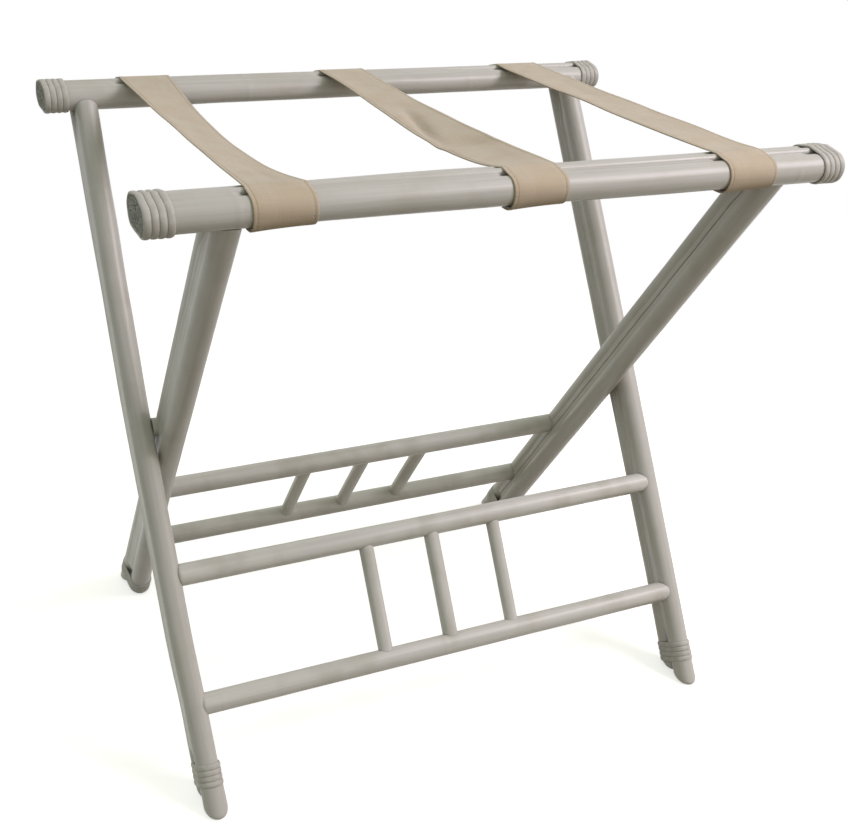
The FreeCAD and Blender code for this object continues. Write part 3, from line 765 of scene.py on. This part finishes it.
def rail_canes(side, seed):
    """The two canes of a rail and the reed in the groove above them."""
    left, right = RAIL_ENDS[side]
    sign = RAIL_SIDE[side]
    middle = Matrix.Translation(rail_point(side, 0.0, (0.0, 0.0)))
    place = middle @ Matrix.Rotation(math.pi / 2, 4, "Y")
    names = ["back", "front"] if side == "inner" else ["front", "back"]
    nodes = [f"{side}_rail_{name}_pole" for name in names] + [f"{side}_rail_reed"]
    for number, node in enumerate(nodes):
        rings = []
        for k in range(RAIL_RINGS + 1):
            x = left + RAIL_END_RECESS + (right - left - 2 * RAIL_END_RECESS) * k / RAIL_RINGS
            rings.append((x, rail_circles(side, x)[number][1], 0.0))

        def bow(x):
            centre = rail_circles(side, x)[number][0]
            return -centre.y, sign * centre.x

        piece = cane(f"{node}_cane", place, rings, seed + 1.7 * number, bow)
        shade_smooth(piece, 50)
        finish_cane(piece, side, PAINT["rails"], node)


# Each cane has a seed of its own, so that no two waver alike.
for number, side in enumerate(SIDES):
    rail_canes(side, 4.1 * number + 21.3)
    for step, hand in enumerate(("left", "right")):
        upper_leg_cane(side, hand, 2.3 * number + 5.1 * step + 0.4)
        under_leg_cane(side, hand, 2.9 * number + 4.7 * step + 31.6)
    for step, level in enumerate(("upper", "lower")):
        stretcher_cane(side, level, 3.7 * number + 1.9 * step + 11.2)
    for step, name in enumerate(("left", "middle", "right")):
        spindle_cane(side, name, 2.1 * number + 1.3 * step + 41.8)


def smooth_solid_tree():
    """Join a solid's loose facets and shade its round faces smooth up to its sharp edges."""
    tree, given, result = new_tree("smooth_solid")
    joined = add(tree, "MergeByDistance", given, Distance=0.00001)
    angle = add(tree, "InputMeshEdgeAngle")
    flat = add(
        tree, "Compare", data_type="FLOAT", operation="LESS_THAN",
        A=angle.outputs[0], B=math.radians(35),
    )
    faces = add(tree, "SetShadeSmooth", joined, domain="FACE")
    edges = add(tree, "SetShadeSmooth", faces, domain="EDGE", Shade_Smooth=flat)
    tree.links.new(edges.outputs[0], result.inputs[0])
    return tree


def paint_solids():
    """Give the solids of the pivot their finish and smooth their facets."""
    smoothing = smooth_solid_tree()
    finishes = {
        "pivot_screws": ZINC,
        "pivot_spacers": NYLON,
        "outer_pivot_plugs": PAINT["outer_legs"],
    }
    for name, finish in finishes.items():
        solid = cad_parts[name]
        solid.data.materials.clear()
        solid.data.materials.append(finish)
        solid.modifiers.new("smooth", "NODES").node_group = smoothing


paint_solids()

# ------------------------------------------------------------------------------ peel bindings


def hull_points(circles, grow, start=0.0, end=math.tau, spacing=0.002):
    """Points round the tight outline of some circles, each with the direction it faces.

    The direction turns from start to end in steps of about 4 degrees, and straight runs are
    divided evenly.
    """
    points = []
    count = round(abs(end - start) / math.radians(4))
    for i in range(count + 1):
        angle = start + (end - start) * i / count
        facing = Vector((math.cos(angle), math.sin(angle)))
        centre, radius = max(circles, key=lambda c: c[0].dot(facing) + c[1])
        point = centre + facing * (radius + grow)
        if points:
            last = points[-1][0]
            parts = max(1, round((point - last).length / spacing))
            points += [(last.lerp(point, k / parts), facing) for k in range(1, parts)]
        points.append((point, facing))
    return points


def peel_tree():
    """Turns of peel side by side: a rounded band swept round each closed path."""
    tree, given, result = new_tree(
        "peel_turns", Turns="Int", Pitch="Float", Width="Float", Thickness="Float",
        Axis="Vector", Wander="Float", Seed="Float", Finish="Material",
    )
    axis = given.outputs["Axis"]
    path = add(tree, "MeshToCurve", given)
    path = add(tree, "SetCurveNormal", path, mode="FREE", Normal=axis)
    along = add(tree, "SplineParameter").outputs["Length"]
    path = add(
        tree, "StoreNamedAttribute", path, data_type="FLOAT", domain="POINT",
        Name="peel_along", Value=along,
    )
    section = add(tree, "CurvePrimitiveCircle", Resolution=14, Radius=0.5)
    across = add(tree, "SplineParameter").outputs["Factor"]
    section = add(
        tree, "StoreNamedAttribute", section, data_type="FLOAT", domain="POINT",
        Name="peel_across", Value=across,
    )
    size = add(tree, "CombineXYZ", given.outputs["Width"], given.outputs["Thickness"], 1.0)
    section = add(tree, "Transform", section, Scale=size)
    band = add(tree, "CurveToMesh", path, section)
    step = add(tree, "VectorMath", axis, operation="SCALE", Scale=given.outputs["Pitch"])
    places = add(tree, "MeshLine", mode="OFFSET", Count=given.outputs["Turns"], Offset=step)
    turns = add(tree, "InstanceOnPoints", places, Instance=band)
    turns = add(tree, "RealizeInstances", turns)
    spot = add(tree, "InputPosition")
    wave = add(
        tree, "TexNoise", spot, noise_dimensions="4D", W=given.outputs["Seed"],
        Scale=70.0, Detail=1.0,
    )
    centred = add(tree, "VectorMath", wave.outputs["Color"], (0.5, 0.5, 0.5), operation="SUBTRACT")
    moved = add(tree, "VectorMath", centred, operation="SCALE", Scale=given.outputs["Wander"])
    turns = add(tree, "SetPosition", turns, Offset=moved)
    turns = add(tree, "SetShadeSmooth", turns)
    turns = add(tree, "SetMaterial", turns, Material=given.outputs["Finish"])
    tree.links.new(turns.outputs[0], result.inputs[0])
    return tree


PEEL_TREE = peel_tree()


def bind(name, loops, axis, sizes, side, replaced, seed):
    """Wind peel round each closed loop of points and let it stand for the plain bands."""
    vertices, edges = [], []
    for loop in loops:
        first, count = len(vertices), len(loop)
        vertices += loop
        edges += [(first + i, first + (i + 1) % count) for i in range(count)]
    piece = new_piece(name, vertices, edges)
    values = {
        "Turns": PEEL_TURNS,
        "Pitch": sizes["Pitch"],
        "Width": sizes["Width"],
        "Thickness": PEEL_THICKNESS,
        "Axis": axis,
        "Wander": PEEL_WANDER,
        "Seed": seed,
        "Finish": PEEL,
    }
    run_tree(piece, PEEL_TREE, values)
    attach(piece, BODY[side])
    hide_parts(replaced)


def bind_rails(side, seed):
    """Peel at both ends of a frame's rail."""
    grow = RAIL_PEEL["proud"] - PEEL_THICKNESS / 2
    inset = RAIL_PEEL["Width"] / 2
    run = RAIL_PEEL["Pitch"] * (PEEL_TURNS - 1)
    loops = []
    for x in (RAIL_ENDS[side][0] + inset, RAIL_ENDS[side][1] - inset - run):
        outline = hull_points(rail_circles(side, x + run / 2), grow)[:-1]
        loops.append([rail_point(side, x, p) for p, _ in outline])
    name = f"{side}_rail_peel"
    bind(name, loops, (1.0, 0.0, 0.0), RAIL_PEEL, side, f"{side}_rail_bindings", seed)


def bind_feet(side, seed):
    """Peel round the pair of canes at both feet of a frame."""
    gauge, radius = PAIR_GAUGE[side], UNDER_RADIUS[side]
    height = (gauge + radius + FOOT_PEEL_REACH) * SLOPE + FLOOR_GAP / math.cos(LEAN) - FLOOR_DROP
    level = height + FOOT_PEEL["Width"] / 2
    loops = []
    for hand in ("left", "right"):
        circles = [
            (Vector(leg_bow(side, hand, "upper", level)), LEG_RADIUS),
            (Vector(leg_bow(side, hand, "under", level)) + Vector((0, gauge)), radius),
        ]
        outline = hull_points(circles, FOOT_PEEL["proud"] - PEEL_THICKNESS / 2)[:-1]
        own = leg_place(side, hand, 0.0)
        lift = FOOT_PEEL_LIFT[side] if hand == "left" else 0.0
        loops.append([own @ Vector((p.x, p.y, level + lift)) for p, _ in outline])
    axis = tuple(frame_place(side).to_3x3() @ Vector((0, 0, 1)))
    bind(f"{side}_foot_peel", loops, axis, FOOT_PEEL, side, f"{side}_foot_bindings", seed)


for number, side in enumerate(SIDES):
    bind_rails(side, 3.0 + number)
    bind_feet(side, 7.0 + number)

# --------------------------------------------------------------------------------- rail ends


def rail_end_caps(side):
    """Rough sawn faces of the canes at both ends of a rail, one piece."""
    rings = 16
    vertices, faces = [], []
    for sign, end in zip((-1, 1), RAIL_ENDS[side]):
        circles = rail_circles(side, end)
        outline = [p for p, _ in hull_points(circles, 0.0001)[:-1]]
        middle = (circles[0][0] + circles[1][0]) / 2 + Vector((0, 0.002))
        faces += tube_faces(len(vertices), rings + 2, len(outline))
        vertices += [rail_point(side, end - sign * SAWN_FACE_DEPTH, p) for p in outline]
        for ring in range(rings + 1):
            for point in outline:
                spot = middle.lerp(point, max(1 - ring / rings, 0.02))
                rough = noise.noise(Vector((spot.x, spot.y, sign)) * 420) * 0.0006
                rough += noise.noise(Vector((spot.x, spot.y, sign + 5)) * 1100) * 0.0005
                seam = min(abs((spot - c).length - r) for c, r in circles)
                groove = 0.0007 * math.exp(-((seam / 0.0005) ** 2))
                depth = 0.0006 - rough + groove + (0.0006 if ring == 0 else 0.0)
                vertices.append(rail_point(side, end - sign * max(depth, 0.0001), spot))
    piece = face_outwards(new_piece(f"{side}_rail_ends", vertices, faces=faces))
    piece.data.materials.append(END_GRAIN)
    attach(piece, BODY[side])


def seam_fill(side):
    """Paint and filler in the seams beside the reed, one piece: full at the rack's left, and a
    shallow hollow at its right. Small holes stay open beside the bindings and the straps.
    """
    # Section from the reed out over the cane, for a full and for a hollow seam.
    full = [
        (0.0028, 0.0120), (0.0012, 0.0143), (0.0034, 0.0137), (0.0058, 0.0129), (0.0080, 0.0123),
        (0.0096, 0.0120), (0.0107, 0.0118), (0.0112, 0.0115), (0.0060, 0.0096),
    ]
    hollow = [
        (0.0026, 0.0110), (0.0033, 0.0125), (0.0039, 0.0118), (0.0048, 0.0113), (0.0060, 0.0112),
        (0.0074, 0.0114), (0.0088, 0.0115), (0.0098, 0.0113), (0.0056, 0.0092),
    ]
    # Where the filled lengths of the seams start and end along the rail, by turns.
    band = RAIL_PEEL["Pitch"] * PEEL_TURNS
    breaks = [RAIL_ENDS[side][0] + band - 0.001]
    for strap in STRAPS.values():
        x = strap["x"][STRAP_END[side]]
        breaks += [x - 0.0275, x + 0.020]
    breaks.append(RAIL_ENDS[side][1] - band - 0.0045)
    count = len(full)
    vertices, faces = [], []
    for low, high in zip(breaks[::2], breaks[1::2]):
        steps = max(4, round((high - low) / 0.004))
        for hand in (-1, 1):
            faces += tube_faces(len(vertices), steps + 1, count)
            for step in range(steps + 1):
                x = low + (high - low) * step / steps
                circles = rail_circles(side, x)
                middle = (circles[0][0] + circles[1][0]) / 2
                fade = min(1.0, (steps - step) / 1.5)
                fill = 0.2 + 0.8 * smooth_step(*SEAM_HOLLOW_RUN[side], x)
                fill += 0.25 * noise.noise(Vector((x * 14, hand, 3.0)))
                for rich, poor in zip(full, hollow):
                    spot = Vector(rich).lerp(Vector(poor), min(1.0, max(0.0, fill)))
                    waver = noise.noise(Vector((x * 60, spot.x * 300, hand))) * 0.0002
                    sink = 0.0020 * (1 - fade) + (0.0001 - waver) * (spot.x > 0.002)
                    centre, radius = circles[hand > 0]
                    up = middle.y + (centre.y - middle.y) * min(1.0, spot.x / 0.009)
                    out = middle.x + hand * spot.x
                    rise = up + spot.y - sink
                    if spot.x > 0.009:
                        skin = centre.y + math.sqrt(radius**2 - (out - centre.x) ** 2)
                        rise = min(rise, skin + 0.0001 - 0.5 * (spot.x - 0.009))
                    vertices.append(rail_point(side, x, (out, rise)))
    piece = face_outwards(new_piece(f"{side}_rail_seam_fill", vertices, faces=faces), smooth=50)
    piece.data.materials.append(PAINT["rails"])
    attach(piece, BODY[side])


def leg_seam_fill(side):
    """Paint and filler in the seams between the two canes of each leg, one piece.

    It stops short of the foot's binding, where a small hole stays open.
    """
    gauge, radius = PAIR_GAUGE[side], UNDER_RADIUS[side]
    band = PEEL_TURNS * FOOT_PEEL["Pitch"] + FOOT_PEEL_LIFT[side] + 0.0062
    low = (gauge + radius) * SLOPE + band - FLOOR_DROP
    high, steps = 0.326, 110
    vertices, faces = [], []
    for hand in ("left", "right"):
        own = leg_place(side, hand, 0.0)
        brim, groove, half = LEG_SEAM[side, hand]
        for aside in (-1, 1):
            faces += tube_faces(len(vertices), steps + 1, 6)
            for step in range(steps + 1):
                height = low + (high - low) * step / steps
                upper = leg_bow(side, hand, "upper", height)[0]
                under = leg_bow(side, hand, "under", height)[0]
                waver = noise.noise(Vector((height * 30, aside, gauge * 500))) * 0.0004
                # It thins out at the foot and over the last 40 mm below the rail.
                bare = max(0.0, 1 - step / 2, (height - 0.285) / 0.04)
                brim_now = brim + waver - 0.0035 * bare
                out, out_under = min(brim_now, LEG_RADIUS - 0.0002), min(brim_now, radius - 0.0002)
                above = math.sqrt(LEG_RADIUS**2 - out**2) - 0.0003
                below = gauge - math.sqrt(radius**2 - out_under**2) + 0.0003
                seam = (above + below) / 2
                half_now = min(half, (below - above) / 2 - 0.0001)
                middle, sides = (upper + under) / 2, (out + out_under) / 2
                section = [
                    (upper + aside * (out - 0.0001), above),
                    (middle + aside * sides, seam - half_now),
                    (middle + aside * (sides - groove), seam),
                    (middle + aside * sides, seam + half_now),
                    (under + aside * (out_under - 0.0001), below),
                    (middle + aside * 0.002, LEG_RADIUS),
                ]
                vertices += [own @ Vector((x, y, height)) for x, y in section]
    piece = face_outwards(new_piece(f"{side}_leg_seam_fill", vertices, faces=faces), smooth=50)
    piece.data.materials.append(PAINT[f"{side}_legs"])
    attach(piece, BODY[side])


for side in SIDES:
    rail_end_caps(side)
    leg_seam_fill(side)

# ----------------------------------------------------------------------------------- straps

# Places across a strap, from -1 at its left edge to 1, closer together at the hems.
HEM_EDGE = 1 - 2 * HEM_WIDTH / STRAP_WIDTH
HALF_ROW = [
    0.14, 0.28, 0.42, 0.56, HEM_EDGE - 0.03, HEM_EDGE, HEM_EDGE + 0.06,
    0.84, 0.9, 0.95, 0.98, 0.995, 1.0,
]
ROW = [-u for u in reversed(HALF_ROW)] + [0.0] + HALF_ROW

# Each strap: its centre at the back and the front rail, the sag of its left and right edge and
# where along the span that edge is lowest, how much it narrows there, its creases and how far
# its front end hangs loose at the left. A crease is a valley from one place to another, each a
# (share of the span, place across), with its depth and width.
STRAPS = {
    "left": {
        "x": (-0.2125, -0.2180),
        "sag": ((0.004, 0.5), (0.016, 0.55)),
        "narrow": 0.10,
        "creases": [((0.80, 0.1), (1.0, 0.35), 0.0012, 0.10)],
        "loose": 0.0022,
    },
    "middle": {
        "x": (0.0035, -0.0005),
        "sag": ((0.0125, 0.67), (0.004, 0.5)),
        "narrow": 0.08,
        "creases": [
            ((0.40, 0.1), (0.68, -0.75), 0.0046, 0.09),
            ((0.70, -1.1), (0.75, 0.9), 0.0034, 0.06),
        ],
        "loose": 0.0020,
    },
    "right": {
        "x": (0.2215, 0.2140),
        "sag": ((0.0015, 0.5), (0.0015, 0.5)),
        "narrow": 0.02,
        "creases": [((0.15, 0.5), (0.45, -0.2), 0.0008, 0.15)],
        "loose": 0.0016,
    },
}


def hump(share, peak):
    """Smooth sag from 0 at both ends to 1 where share is peak."""
    power = math.log(0.5) / math.log(peak)
    return 4 * share**power * (1 - share**power)


def wrap_line(side, x):
    """Middle of a strap's thickness round a rail, from the reed's top to under the rail.

    Each point is (place, direction it faces), with X outwards from the rack and Y up.
    """
    grow = STRAP_GAP + STRAP_THICKNESS / 2
    # The outward cane and the reed, which the cloth bears on.
    circles = rail_circles(side, x)[1:]
    points = hull_points(circles, grow, math.radians(94), -math.pi / 2, spacing=0.0025)
    low, facing = points[-1]
    end = Vector((STRAP_TAIL, low.y))
    return points + [(low.lerp(end, k / TAIL_ROWS), facing) for k in range(1, TAIL_ROWS + 1)]


def strap_line(strap):
    """A strap's line from under the back rail over the span to under the front rail.

    Each point is its place in Y and Z, the direction it faces, and its share of the free span.
    """
    back = []
    for p, n in reversed(wrap_line("outer", strap["x"][0])):
        back.append((Vector((RAIL_Y + p.x, RAIL_HEIGHT + p.y)), n, 0.0))
    front = []
    for p, n in wrap_line("inner", strap["x"][1]):
        front.append((Vector((-RAIL_Y - p.x, RAIL_HEIGHT + p.y)), Vector((-n.x, n.y)), 1.0))
    span = []
    for k in range(1, SPAN_ROWS):
        place = back[-1][0].lerp(front[0][0], k / SPAN_ROWS)
        span.append((place, Vector((0, 1)), k / SPAN_ROWS))
    return back + span + front


def crease_depth(share, u, crease):
    """How far a crease sinks the cloth at a place."""
    start, end, depth, width = crease
    # A step across the strap counts a quarter of one along the span.
    start, end, spot = [Vector((s, across * 0.25)) for s, across in (start, end, (share, u))]
    line = end - start
    t = min(1.0, max(0.0, (spot - start).dot(line) / line.length_squared))
    away = (spot - (start + line * t)).length / (width * 0.5)
    fade = math.sin(math.pi * (0.05 + 0.9 * t))
    return depth * fade * math.exp(-away * away)


def strap_surface(strap):
    """Middle surface of a strap as rows of points across it."""
    seed = strap["x"][0] * 10
    (left, left_peak), (right, right_peak) = strap["sag"]
    rows = []
    for place, facing, share in strap_line(strap):
        x = strap["x"][0] + (strap["x"][1] - strap["x"][0]) * share
        width = STRAP_WIDTH * (1 - strap["narrow"] * 4 * share * (1 - share))
        free = smooth_step(0.0, 0.06, share) * smooth_step(0.0, 0.06, 1 - share)
        hanging = smooth_step(0.1, 1.0, -facing.y) if share == 1.0 else 0.0
        row = []
        for u in ROW:
            sink = 0.0
            if free:
                left_sag, right_sag = left * hump(share, left_peak), right * hump(share, right_peak)
                sink = left_sag + (right_sag - left_sag) * (u + 1) / 2
                sink += 0.0012 * free * (1 - u * u)
                sink += sum(crease_depth(share, u, c) for c in strap["creases"]) * free
                sink -= noise.noise(Vector((seed + u * 0.8, share * 5, 0.0))) * 0.0012 * free
            off = strap["loose"] * hanging * (0.15 + 0.85 * ((1 - u) / 2) ** 2)
            y, z = place + facing * off
            row.append(Vector((x + u * width / 2, y, z - sink)))
        rows.append(row)
    return rows


def surface_normals(rows):
    """Outer normal at each point of the rows."""
    normals = []
    last, wide = len(rows) - 1, len(rows[0]) - 1
    for i, row in enumerate(rows):
        before, after = rows[max(i - 1, 0)], rows[min(i + 1, last)]
        line = []
        for k in range(wide + 1):
            backward = before[k] - after[k]
            across = row[min(k + 1, wide)] - row[max(k - 1, 0)]
            line.append(across.cross(backward).normalized())
        normals.append(line)
    return normals


def cloth_depth(u):
    """Depth of cloth above and below the middle surface. Hems are folded to the underside."""
    edge = (1 - abs(u)) * STRAP_WIDTH / 2
    rounding = math.sqrt(max(0.0, 1 - (1 - min(1.0, edge / 0.0008)) ** 2))
    half = STRAP_THICKNESS / 2 * (0.25 + 0.75 * rounding)
    hem = smooth_step(0.0, 0.0012, HEM_WIDTH - edge)
    seam = math.exp(-(((edge - HEM_STITCH_INSET) / 0.0007) ** 2))
    return half - 0.00018 * seam, half * (1 + 0.5 * hem) - 0.0002 * seam


def stitch_tree():
    """Stitches laid end to end along paths, each a short rounded length of thread."""
    tree, given, result = new_tree(
        "hem_stitches", Pitch="Float", Length="Float", Width="Float", Finish="Material"
    )
    width = given.outputs["Width"]
    path = add(tree, "MeshToCurve", given)
    path = add(tree, "ResampleCurve", path, mode="LENGTH", Length=given.outputs["Pitch"])
    stitch = add(tree, "MeshUVSphere", Segments=6, Rings=4, Radius=0.5)
    size = add(tree, "CombineXYZ", width, width, given.outputs["Length"])
    tangent = add(tree, "InputTangent")
    turn = add(tree, "AlignRotationToVector", axis="Z", Vector=tangent)
    row = add(
        tree, "InstanceOnPoints", path, Instance=stitch.outputs["Mesh"], Rotation=turn, Scale=size
    )
    row = add(tree, "RealizeInstances", row)
    row = add(tree, "SetShadeSmooth", row)
    row = add(tree, "SetMaterial", row, Material=given.outputs["Finish"])
    tree.links.new(row.outputs[0], result.inputs[0])
    return tree


def tack_tree():
    """Domed tack heads on points, facing down."""
    tree, given, result = new_tree("tack_heads", Radius="Float", Height="Float", Finish="Material")
    radius = given.outputs["Radius"]
    head = add(tree, "MeshUVSphere", Segments=14, Rings=8, Radius=1.0)
    size = add(tree, "CombineXYZ", radius, radius, given.outputs["Height"])
    tacks = add(tree, "InstanceOnPoints", given, Instance=head.outputs["Mesh"], Scale=size)
    tacks = add(tree, "RealizeInstances", tacks)
    tacks = add(tree, "SetShadeSmooth", tacks)
    tacks = add(tree, "SetMaterial", tacks, Material=given.outputs["Finish"])
    tree.links.new(tacks.outputs[0], result.inputs[0])
    return tree


STITCH_TREE = stitch_tree()
TACK_TREE = tack_tree()


def sew_stitches(name, rows, normals):
    """Stitch lines down both hems, on the face of the strap and on its back."""
    target = 1 - 2 * HEM_STITCH_INSET / STRAP_WIDTH
    above, below = cloth_depth(target)
    vertices, edges = [], []
    for side in (-1, 1):
        k = max(i for i in range(len(ROW)) if ROW[i] <= side * target)
        t = (side * target - ROW[k]) / (ROW[k + 1] - ROW[k])
        for lift in (above + 0.0001, -below - 0.0001):
            first = len(vertices)
            vertices += [r[k].lerp(r[k + 1], t) + n[k] * lift for r, n in zip(rows, normals)]
            edges += [(i, i + 1) for i in range(first, len(vertices) - 1)]
    piece = new_piece(name, vertices, edges)
    values = {
        "Pitch": STITCH_PITCH, "Length": STITCH_LENGTH, "Width": STITCH_WIDTH, "Finish": THREAD,
    }
    run_tree(piece, STITCH_TREE, values)
    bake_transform(piece)
    return piece


def make_strap(name):
    """One canvas strap with its hems, from its tacked end under the back rail to the front's."""
    rows = strap_surface(STRAPS[name])
    normals = surface_normals(rows)
    count = len(ROW)
    travelled = [0.0]
    for before, after in zip(rows, rows[1:]):
        travelled.append(travelled[-1] + (after[count // 2] - before[count // 2]).length)
    vertices, spots, faces = [], [], []
    for face in (0, 1):
        for row, line, distance in zip(rows, normals, travelled):
            for k, u in enumerate(ROW):
                depth = cloth_depth(u)[face]
                vertices.append(row[k] + line[k] * (depth if face == 0 else -depth))
                spots.append((u * STRAP_WIDTH / 2, distance))
    total = len(rows) * count
    for i in range(len(rows) - 1):
        for k in range(count - 1):
            a = i * count + k
            b = a + count
            faces.append((a, a + 1, b + 1, b))
            faces.append((total + a, total + b, total + b + 1, total + a + 1))
        for a in (i * count, i * count + count - 1):
            faces.append((a, a + count, total + a + count, total + a))
    for i in (0, len(rows) - 1):
        for k in range(count - 1):
            a = i * count + k
            faces.append((a, a + 1, total + a + 1, total + a))
    piece = new_piece(f"strap_{name}", vertices, faces=faces)
    layer = piece.data.uv_layers.new(name="UVMap")
    for loop in piece.data.loops:
        layer.data[loop.index].uv = spots[loop.vertex_index]
    face_outwards(piece, smooth=60)
    piece.data.materials.append(CANVAS)
    stitches = sew_stitches(f"strap_{name}_stitches", rows, normals)
    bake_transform(piece)
    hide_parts(f"strap_{name}_span", "strap_front_wraps", "strap_back_wraps")


def tack_ends(side):
    """Tacks that hold the ends of the straps to the underside of a rail."""
    points = []
    for strap in STRAPS.values():
        x = strap["x"][STRAP_END[side]]
        (_, up), radius = rail_circles(side, x)[1]
        spot = (RAIL_HALF_GAUGE * 0.85, up - radius - STRAP_THICKNESS - 0.0006)
        points += [rail_point(side, x + step * TACK_PITCH, spot) for step in (-2, -1, 0, 1, 2)]
    piece = new_piece(f"{side}_rail_tacks", points)
    run_tree(piece, TACK_TREE, {"Radius": TACK_RADIUS, "Height": TACK_RISE, "Finish": ZINC})
    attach(piece, BODY[side])


for name in STRAPS:
    make_strap(name)
for side in SIDES:
    seam_fill(side)
    tack_ends(side)

# ------------------------------------------------------------------ floor, lights and camera


def seen_directly(tree):
    """1 for what the camera sees straight, in a reflection or through glass."""
    path = add(tree, "LightPath")
    seen = add(
        tree, "Math", path.outputs["Is Camera Ray"], path.outputs["Is Glossy Ray"],
        operation="MAXIMUM",
    )
    return add(tree, "Math", seen, path.outputs["Is Transmission Ray"], operation="MAXIMUM")


def pale_floor():
    """Floor that looks white, keeps a soft shadow near the rack and throws little light up."""
    material, tree = new_material("pale_matt_floor")
    place = add(tree, "TexCoord").outputs["Object"]
    distance = add(tree, "VectorMath", place, operation="LENGTH").outputs["Value"]
    far = add(tree, "MapRange", distance, 0.7, 1.6, 0.0, 1.0, interpolation_type="SMOOTHSTEP")
    mottled = add(tree, "TexNoise", place, Scale=3.0, Detail=2.0)
    pale = add(tree, "Mix", mottled, srgb("#f2f2f0"), srgb("#f7f7f6"), data_type="RGBA")
    lit = add(tree, "BsdfDiffuse", pale)
    glow = add(tree, "Emission", (1, 1, 1, 1), 0.62)
    near = add(tree, "AddShader", lit, glow)
    white = add(tree, "Emission", (1, 1, 1, 1), 1.0)
    bright = add(tree, "MixShader", far, near, white)
    dim = add(tree, "BsdfDiffuse", srgb("#6e5f48"))
    shown = add(tree, "MixShader", seen_directly(tree), dim, bright)
    add(tree, "OutputMaterial", shown)
    half = 6.0
    corners = [(-half, -half, 0), (half, -half, 0), (half, half, 0), (-half, half, 0)]
    floor = new_piece("floor", corners, faces=[(0, 1, 2, 3)])
    floor.data.materials.append(material)


def white_surroundings():
    """White behind the rack, and a plain dimmer grey as light from all round."""
    world = bpy.data.worlds.new("studio")
    bpy.context.scene.world = world
    world.use_nodes = True
    tree = world.node_tree
    tree.nodes.clear()
    room = add(tree, "Background", srgb("#fbffe7"), 0.45)
    white = add(tree, "Background", (1, 1, 1, 1), 1.0)
    shown = add(tree, "MixShader", seen_directly(tree), room, white)
    add(tree, "OutputWorld", shown)


def soft_lamp(name, place, size, power, colour):
    """Square soft lamp that faces the rack."""
    lamp = bpy.data.lights.new(name, "AREA")
    lamp.shape = "SQUARE"
    lamp.size = size
    lamp.energy = power
    lamp.color = srgb(colour)[:3]
    piece = bpy.data.objects.new(name, lamp)
    bpy.context.scene.collection.objects.link(piece)
    piece.location = place
    aim = Vector((0, 0, 0.35)) - Vector(place)
    piece.rotation_euler = aim.to_track_quat("-Z", "Y").to_euler()


def place_camera():
    """Camera from the left, in front and above."""
    spot = (-0.5136, -1.0083, 0.8458)
    # To the right, down and about its own axis, in radians.
    yaw, pitch, roll = 0.452, 0.509, 0.056
    level = Vector((math.sin(yaw), math.cos(yaw), 0.0))
    ahead = level * math.cos(pitch) - Vector((0, 0, math.sin(pitch)))
    right = Vector((math.cos(yaw), -math.sin(yaw), 0.0))
    up = right.cross(ahead)
    turned_right = right * math.cos(roll) + up * math.sin(roll)
    turned_up = up * math.cos(roll) - right * math.sin(roll)
    camera = bpy.data.cameras.new("camera")
    # Size of the render, its focal length and the place straight ahead, in its pixels.
    wide, high = 848, 822
    focal, ahead_x, ahead_y = 1169.23, 377.143, 470.617
    camera.sensor_width = 36.0
    camera.lens = camera.sensor_width * focal / wide
    camera.shift_x = (wide / 2 - ahead_x) / wide
    camera.shift_y = (ahead_y - high / 2) / wide
    piece = bpy.data.objects.new("camera", camera)
    bpy.context.scene.collection.objects.link(piece)
    turn = Matrix((turned_right, turned_up, -ahead)).transposed()
    piece.matrix_world = Matrix.Translation(spot) @ turn.to_4x4()
    bpy.context.scene.camera = piece


pale_floor()
white_surroundings()
soft_lamp("key_right_above", (1.5, -1.1, 2.0), 1.0, 31.5, "#fff4fd")
soft_lamp("fill_right_low", (1.3, -1.3, 0.40), 0.8, 1.5, "#fff6ee")
soft_lamp("fill_left", (-2.2, -0.6, 1.3), 1.5, 2.0, "#9cc8ff")
place_camera()
bpy.context.scene.view_settings.view_transform = "Standard"
